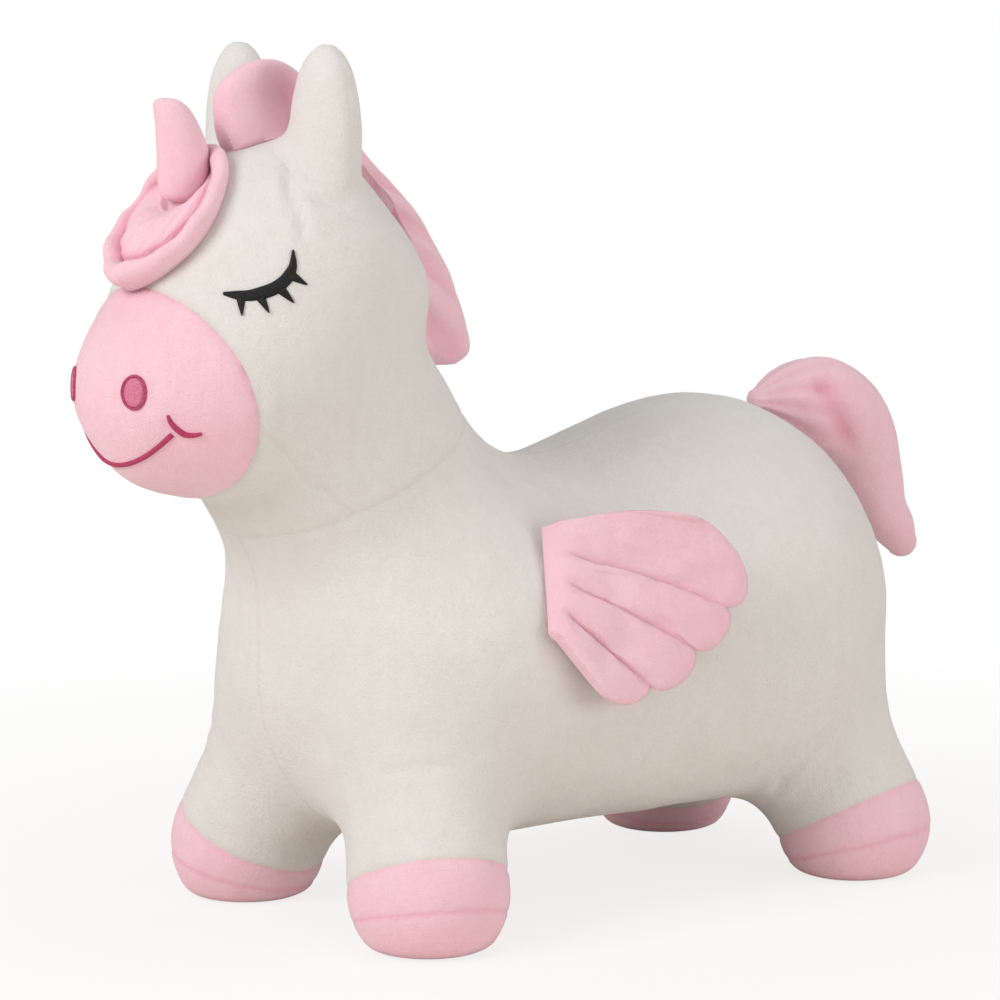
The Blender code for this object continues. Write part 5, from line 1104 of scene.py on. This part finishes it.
def strip_points(line, halves, raise_by):
    """Rings of a raised satin-stitch band along a line of points on the skin."""
    points = onto_skin(line)
    ways = outward(points)
    across = unit(np.cross(ways, np.gradient(points, axis=0)))
    shares = np.append(np.linspace(1.0, -1.0, 7), (-1.0, 1.0))
    lift = STITCH_FOOT + raise_by * np.sqrt(1.0 - shares**2)
    lift[-2:] = STITCH_SUNK
    reach = np.asarray(halves)[:, None, None] * shares[None, :, None]
    feet = onto_skin((points[:, None] + across[:, None] * reach).reshape(-1, 3))
    drop = relief(feet)[0].reshape(len(points), -1, 1)
    return feet.reshape(len(points), -1, 3) + ways[:, None] * (lift[None, :, None] - drop)


def stitched(name, strips, side, material, *nodes):
    """One object of several raised bands, on the left (1) or mirrored to the right (-1)."""
    bm = bmesh.new()
    for index, rings in enumerate(strips):
        bm.from_mesh(lofted(f"{name}_{index}", rings * np.array((side, 1.0, 1.0))))
    finished(link(name, faced_out(bm, bpy.data.meshes.new(name))), material, "torso", *nodes)


def eye_strips():
    upper, lower = (np.array([seen_at(*pixel) for pixel in lid]) for lid in (LID_UPPER, LID_LOWER))
    middle = smooth_line((upper + lower) / 2.0, 33)
    half = smooth_line(np.linalg.norm(upper - lower, axis=1) / 2.0, 33)
    strips = [strip_points(middle, np.maximum(half, 0.0004), 0.0011)]
    shares = np.linspace(0.0, 1.0, 9)
    for root, width, tip in LASHES:
        start, end = seen_at(*root), seen_at(*tip)
        wide = width * VIEW_DISTANCE / FOCAL_PIXELS
        line = [start + (end - start) * share for share in shares]
        strips.append(strip_points(line, wide * (1.0 - shares) ** 0.8 + 0.0002, 0.0011))
    return strips


def nostril_strips():
    """A satin patch with a rolled ring round it."""
    foot, way = cast(MUZZLE + Vector((NOSTRIL_SIDE, 0.0, NOSTRIL_ABOVE_MUZZLE)), (0.0, -1.0, 0.0))
    across = Vector((1.0, 0.0, 0.0)) - way * way.x
    across.normalize()
    up = way.cross(across)
    rows = np.linspace(-0.97, 0.97, 17)
    line = [foot + up * (NOSTRIL_HALF_HEIGHT * 0.9 * row) for row in rows]
    patch = strip_points(line, NOSTRIL_HALF_WIDTH * 0.9 * np.sqrt(1.0 - rows**2) + 0.0003, 0.0006)
    turns = [math.tau * step / 40 for step in range(41)]
    ring = [
        foot + across * (NOSTRIL_HALF_WIDTH * math.cos(turn)) + up * (NOSTRIL_HALF_HEIGHT * math.sin(turn))
        for turn in turns
    ]
    return [patch], [strip_points(ring, [0.0009] * 41, 0.0009)]


def mouth_strips():
    x = np.linspace(-MOUTH_REACH, MOUTH_REACH, 61)
    start = np.stack([x, np.full(61, MUZZLE.y), MOUTH_LOWEST + MOUTH_RISE * x * x], 1)
    line = cast_all(start, np.tile((0.0, -1.0, 0.0), (61, 1)))[0]
    tick = smooth_line([seen_at(*pixel) for pixel in TICK], 25)
    wide = 0.0004 + 0.0013 * np.sin(np.linspace(0.08, 0.92, 25) * math.pi)
    rings = strip_points(tick, wide, 0.0012)
    return [strip_points(line, np.full(61, MOUTH_HALF_WIDTH), 0.0009), rings, rings * FLIP]


# Materials


class Nodes:
    """The nodes of a material or world, made one line at a time."""

    def __init__(self, owner):
        owner.use_nodes = True
        self.owner = owner
        self.tree = owner.node_tree
        self.shader = self.tree.nodes.get("Principled BSDF")

    def put(self, node, name, value):
        """Gives a node's input a value, or joins another node's output to it."""
        socket = node.inputs[name.replace("_", " ") if isinstance(name, str) else name]
        if isinstance(value, bpy.types.NodeSocket):
            self.tree.links.new(value, socket)
        else:
            socket.default_value = value

    def add(self, kind, *numbered, **named):
        """A node with inputs by number or capital name, and settings by small name."""
        node = self.tree.nodes.new("ShaderNode" + kind)
        for name, value in [*enumerate(numbered), *named.items()]:
            if isinstance(name, str) and name[0].islower():
                setattr(node, name, value)
            else:
                self.put(node, name, value)
        return node

    def place(self):
        return self.add("TexCoord").outputs["Object"]

    def noise(self, scale, detail=3.0, rough=0.55, stretch=None):
        place = self.place()
        if stretch:
            place = self.add("Mapping", Scale=stretch, Vector=place).outputs["Vector"]
        return self.add("TexNoise", Scale=scale, Detail=detail, Roughness=rough, Vector=place).outputs["Fac"]

    def ramp(self, source, low, high, first=(0, 0, 0), last=(1, 1, 1)):
        node = self.add("ValToRGB", source)
        for element, place, colour in zip(node.color_ramp.elements, (low, high), (first, last)):
            element.position, element.color = place, (*colour, 1.0)
        return node.outputs["Color"]

    def mix(self, share, first, second):
        node = self.add("Mix", share, data_type="RGBA")
        for number, value in ((6, first), (7, second)):
            self.put(node, number, (*value, 1.0) if isinstance(value, tuple) else value)
        return node.outputs[2]

    def times(self, first, second):
        return self.add("Math", first, second, operation="MULTIPLY").outputs[0]

    def bump(self, height, strength, distance, **below):
        return self.add("Bump", Strength=strength, Distance=distance, Height=height, **below).outputs["Normal"]

    def set(self, **values):
        for name, value in values.items():
            self.put(self.shader, name, value)


def plush(name, light, shade, painted_shade, sheen):
    """Short velour pile: brushed patches, fine fibres with painted shade in their hollows, and painted shade in seams
    and folds.
    """
    n = Nodes(bpy.data.materials.new(name))
    patches = n.ramp(n.noise(16.0, 5.0, 0.62), 0.38, 0.64)
    strokes = n.ramp(n.noise(1.0, 4.0, 0.65, (130.0, 130.0, 60.0)), 0.36, 0.68)
    fibres = n.noise(1100.0, 2.0, 0.7)
    # Painted shade in the hollows between fibres: darker where the fine fibre bump is lowest
    fibre_hollow_shade = n.ramp(fibres, 0.36, 0.64, (1, 1, 1), (0, 0, 0))
    colour = light
    for share, amount in ((patches, 0.40), (strokes, 0.40), (fibre_hollow_shade, 0.45)):
        colour = n.mix(n.times(share, amount), colour, shade)
    # Painted shade in seams, folds and creases, by each point's painted shade amount
    colour = n.mix(n.times(n.add("Attribute", attribute_name="painted_shade").outputs["Fac"], 0.75), colour, painted_shade)
    broad = n.bump(n.noise(60.0, 4.0, 0.6), 0.30, 0.0030)
    low = n.bump(n.noise(320.0, 3.0, 0.65), 0.45, 0.0012, Normal=broad)
    n.set(Base_Color=colour, Roughness=0.92, Normal=n.bump(fibres, 0.70, 0.0008, Normal=low))
    n.set(Sheen_Weight=sheen, Sheen_Roughness=0.45, Specular_IOR_Level=0.15)
    return n.owner


def thread(name, light, dark):
    """Satin stitch: fine raised threads side by side."""
    n = Nodes(bpy.data.materials.new(name))
    strands = n.noise(1.0, 2.0, 0.5, (1400.0, 300.0, 1400.0))
    n.set(Base_Color=n.mix(n.ramp(strands, 0.35, 0.65), light, dark), Normal=n.bump(strands, 0.8, 0.0004))
    n.set(Roughness=0.55, Specular_IOR_Level=0.25)
    return n.owner


def plain(name, light, dark, rough, scale, metallic=0.0, depth=0.0003):
    """A surface with faint mottling and grain."""
    n = Nodes(bpy.data.materials.new(name))
    grain = n.noise(scale, 4.0, 0.6)
    n.set(Base_Color=n.mix(n.ramp(grain, 0.3, 0.7), light, dark), Metallic=metallic)
    n.set(Roughness=n.times(n.ramp(grain, 0.2, 0.8, (rough * 0.8,) * 3, (rough,) * 3), 1.0))
    n.set(Normal=n.bump(n.noise(scale * 4.0), 0.3, depth))
    return n.owner


# The third colour of each velour is its painted shade for seams, folds and creases
WHITE_PLUSH = plush("white_velour", (0.800, 0.780, 0.750), (0.715, 0.685, 0.645), (0.480, 0.420, 0.360), 0.25)
PINK_PLUSH = plush("pink_velour", (0.925, 0.640, 0.708), (0.875, 0.515, 0.600), (0.800, 0.290, 0.405), 0.30)
BLACK_THREAD = thread("black_thread", (0.007, 0.007, 0.008), (0.018, 0.017, 0.018))
MAGENTA_THREAD = thread("magenta_thread", (0.520, 0.060, 0.150), (0.360, 0.030, 0.095))
ROSE_THREAD = thread("rose_thread", (0.700, 0.240, 0.360), (0.560, 0.130, 0.240))
DARK_THREAD = thread("ring_thread", (0.520, 0.080, 0.180), (0.360, 0.040, 0.110))
FIBRE = plain("loose_fibre", (0.86, 0.85, 0.83), (0.78, 0.77, 0.75), 0.95, 180.0)
VINYL = plain("soft_vinyl", (0.80, 0.50, 0.56), (0.74, 0.43, 0.50), 0.45, 90.0)
TAPE = plain("zip_weave", (0.80, 0.78, 0.75), (0.70, 0.68, 0.64), 0.85, 1400.0)
METAL = plain("zip_plating", (0.62, 0.62, 0.61), (0.50, 0.50, 0.50), 0.38, 240.0, 1.0, 0.0001)
MOULDED = plain("valve_plastic", (0.84, 0.84, 0.81), (0.78, 0.78, 0.75), 0.45, 120.0)
# The record's slot of each new piece's material
SLOTS = {
    WHITE_PLUSH: "plush_white", PINK_PLUSH: "plush_pink", BLACK_THREAD: "thread_black", FIBRE: "filling",
    VINYL: "bladder", **dict.fromkeys((MAGENTA_THREAD, ROSE_THREAD, DARK_THREAD), "thread_magenta"),
}

# Pieces

PANELS = {
    **dict.fromkeys(("body_side", "head_side", "ear_front", "ear_back", "belly_panel"), (WHITE_PLUSH, "torso")),
    "muzzle": (PINK_PLUSH, "torso"),
    "chin_gusset": (WHITE_PLUSH, "torso"),
    **dict.fromkeys(("front_leg_cover", "hind_leg_cover"), (WHITE_PLUSH, "feet")),
    **dict.fromkeys(("front_hoof_band", "hind_hoof_band", "front_hoof_sole", "hind_hoof_sole"), (PINK_PLUSH, "feet")),
}
MIDDLE_PANELS = ("muzzle", "chin_gusset")
# How far the bladder's legs are drawn up towards the hips, so that they stay inside the hooves as the animal bounces
BLADDER_DRAW = 0.53
# Stuffings, the body that each rides and how far it is drawn in under its cover's folds
STUFFINGS = (("horn_stuffing", "horn", 0.0020), ("tail_stuffing", "tail", 0.0065), ("mane_stuffing", "torso", 0.0030))
SIDES = ((1, "left"), (-1, "right"))


def cover(obj, material):
    obj.data.materials.clear()
    obj.data.materials.append(material)


def finished(obj, material, body, *nodes):
    cover(obj, material)
    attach(obj, body)
    if nodes:
        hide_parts(*nodes)
    return obj


def both(points, ways, faces, painted_shade):
    """The left faces and their mirror images, joined along the middle plane."""
    used = np.unique(faces)
    twin = np.arange(len(points))
    apart = used[points[used, 0] > 1e-6]
    twin[apart] = len(points) + np.arange(len(apart))
    points = np.concatenate([points, points[apart] * FLIP])
    ways = np.concatenate([ways, ways[apart] * FLIP])
    painted_shade = np.concatenate([painted_shade, painted_shade[apart]])
    return points, ways, np.concatenate([faces, twin[faces][:, ::-1]]), painted_shade


def blended(obj, node):
    """A leg cover in white velour, with its placement baked into its points, standing in for its solid."""
    cover(obj, WHITE_PLUSH)
    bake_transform(obj)
    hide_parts(node)


def make_panels():
    points, ways, faces, owner = fine_half()
    drop, painted_shade = relief(points)
    points = points - ways * drop[:, None]
    for panel, (material, body) in PANELS.items():
        chosen = faces[owner == panel]
        if panel in MIDDLE_PANELS:
            obj = panel_object(panel + "_plush", *both(points, ways, chosen, painted_shade))
            finished(obj, material, body, panel)
            continue
        for side, word in SIDES:
            flip = FLIP if side == -1 else 1.0
            obj = panel_object(f"{word}_{panel}_plush", points * flip, ways * flip, chosen[:, ::side], painted_shade)
            if panel.endswith("leg_cover"):
                blended(obj, f"{word}_{panel}")
            else:
                finished(obj, material, body, f"{word}_{panel}")


def make_bladder():
    """The solids' bladder, moved with the dressed skin."""
    obj = link("air_bladder_skin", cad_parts["air_bladder"].data.copy())
    points = points_of(obj)
    for side in (-1, 1):
        for end, _ in ENDS:
            turned = points * (side, 1.0, 1.0)
            inside = np.clip(in_leg(turned, end) / LEG_SEAM_RADIUS, 0.0, 1.0) * (turned[:, 0] > 0.0)
            points += (np.array(leg_ends(side, end)[0]) - points) * (BLADDER_DRAW * inside)[:, None]
    left = np.stack([np.abs(points[:, 0]), points[:, 1], points[:, 2]], 1)
    points -= outward(points) * refit(left)[:, None]
    obj.data.vertices.foreach_set("co", points.ravel())
    finished(obj, VINYL, "torso", "air_bladder")


def make_stuffings():
    for name, body, inward in STUFFINGS:
        obj = link(name + "_fibre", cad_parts[name].data.copy())
        points = points_of(obj) - np.array([v.normal for v in obj.data.vertices]) * inward
        if name == "mane_stuffing":
            points[:, 0] *= 0.5
        obj.data.vertices.foreach_set("co", points.ravel())
        finished(obj, FIBRE, body, name)


def make_soft_pieces():
    horn = make_horn()
    cover(horn, PINK_PLUSH)
    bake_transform(horn)
    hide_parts("horn_cover")
    for make, body, node, fill in (
        (make_forelock, "torso", "forelock", 0.5), (make_mane, "torso", "mane_cover", 0.5),
        (make_tail, "tail", "tail_cover", 0.6),
    ):
        finished(make(), PINK_PLUSH, body, node)


def make_wings():
    """The left wing and its wadding, and their mirror images."""
    points, faces, channel, sewn = make_wing()
    wing = link("left_wing_plush", solid_from("left_wing_plush", points, faces))
    puffed(wing, sewn, pressure=2.0, cap=0.0015)
    blown = points_of(wing)
    filling, filling_faces = wadding_in(blown)
    for side, word in SIDES:
        if side == -1:
            turned = [face[::-1] for face in faces]
            wing = link("right_wing_plush", solid_from("right_wing_plush", blown * FLIP, turned))
        # Painted shade in the stitched channels between the feathers
        mark(wing.data, 0.5 * channel)
        name = word + "_wing_wadding"
        wadding = link(name + "_fibre", solid_from(name, filling * (side, 1.0, 1.0), filling_faces))
        finished(wadding, FIBRE, word + "_wing", name)
        finished(wing, PINK_PLUSH, word + "_wing", word + "_wing_cover")


def make_embroidery():
    strips = eye_strips()
    patch, ring = nostril_strips()
    for side, word in SIDES:
        stitched(word + "_eye_stitch", strips, side, BLACK_THREAD, word + "_eye")
        stitched(word + "_nostril_stitch", patch, side, ROSE_THREAD, word + "_nostril")
        stitched(word + "_nostril_ring", ring, side, DARK_THREAD)
    stitched("mouth_stitch", mouth_strips(), 1, MAGENTA_THREAD, "mouth")


def dress_solids():
    """Finishes of the solids that stay as they are."""
    for material, names in (
        (TAPE, ("left_zip_tape", "right_zip_tape", "zip_coil")),
        (METAL, ("zip_slider", "zip_pull", "front_zip_stop", "rear_zip_stop")),
        (MOULDED, ("valve_seat", "valve_plug")),
    ):
        for name in names:
            cover(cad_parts[name], material)


# Floor, light and camera

FLOOR_REACH = 8.0


def make_stage():
    """A white floor that shows soft shadows near the animal and fades out further away."""
    mesh = bpy.data.meshes.new("floor")
    corners = ((-1, -1), (1, -1), (1, 1), (-1, 1))
    mesh.from_pydata([(x * FLOOR_REACH, y * FLOOR_REACH, 0.0) for x, y in corners], [], [(0, 1, 2, 3)])
    floor = placed("floor", mesh)
    n = Nodes(bpy.data.materials.new("studio_floor"))
    n.set(Base_Color=(0.88, 0.82, 0.76, 1.0), Roughness=0.9, Specular_IOR_Level=0.0)
    away = n.add("VectorMath", n.place(), operation="LENGTH").outputs["Value"]
    clear = n.add("MapRange", Value=away, From_Min=0.25, From_Max=0.85, To_Min=0.80, To_Max=1.0).outputs["Result"]
    share = n.times(n.add("LightPath").outputs["Is Camera Ray"], clear)
    white = n.add("Emission", Color=(1.0, 1.0, 1.0, 1.0)).outputs[0]
    blend = n.add("MixShader", share, n.shader.outputs[0], white)
    n.put(n.tree.nodes["Material Output"], "Surface", blend.outputs[0])
    mesh.materials.append(n.owner)


def make_lamp(name, place, size, power, colour=(1.0, 1.0, 1.0)):
    """A round lamp that is aimed at the animal's middle."""
    lamp = bpy.data.lights.new(name, "AREA")
    lamp.shape = "DISK"
    lamp.size = size
    lamp.energy = power
    lamp.color = colour
    obj = placed(name, lamp)
    obj.location = place
    obj.rotation_euler = (Vector((0.0, 0.0, AIM_HEIGHT)) - Vector(place)).to_track_quat("-Z", "Y").to_euler()


def make_light():
    world = bpy.data.worlds.new("studio")
    bpy.context.scene.world = world
    n = Nodes(world)
    n.tree.nodes.clear()
    dim = n.add("Background", Color=(1.0, 0.985, 0.97, 1.0), Strength=0.54).outputs[0]
    white = n.add("Background", Color=(1.0, 1.0, 1.0, 1.0), Strength=1.0).outputs[0]
    blend = n.add("MixShader", n.add("LightPath").outputs["Is Camera Ray"], dim, white)
    n.add("OutputWorld", Surface=blend.outputs[0])
    make_lamp("key", (0.1, -2.3, 1.5), 1.3, 31.0)
    make_lamp("top", (0.3, 0.3, 2.4), 1.6, 7.0)
    make_lamp("fill", (2.4, 0.8, 0.5), 1.4, 15.0, (1.0, 0.98, 0.96))


def make_camera():
    data = bpy.data.cameras.new("camera")
    data.sensor_fit = "HORIZONTAL"
    data.sensor_width = SENSOR_MM
    data.lens = FOCAL_PIXELS / FRAME_PIXELS * SENSOR_MM
    camera = placed("camera", data)
    turned = Matrix([[RIGHT[i], UP[i], BACK[i]] for i in range(3)]).to_4x4()
    camera.matrix_world = Matrix.Translation(EYE) @ turned
    bpy.context.scene.camera = camera


make_camera()
make_soft_pieces()
make_wings()
make_panels()
make_bladder()
make_stuffings()
make_embroidery()
dress_solids()
make_stage()
make_light()
bpy.context.scene.view_settings.view_transform = "Standard"
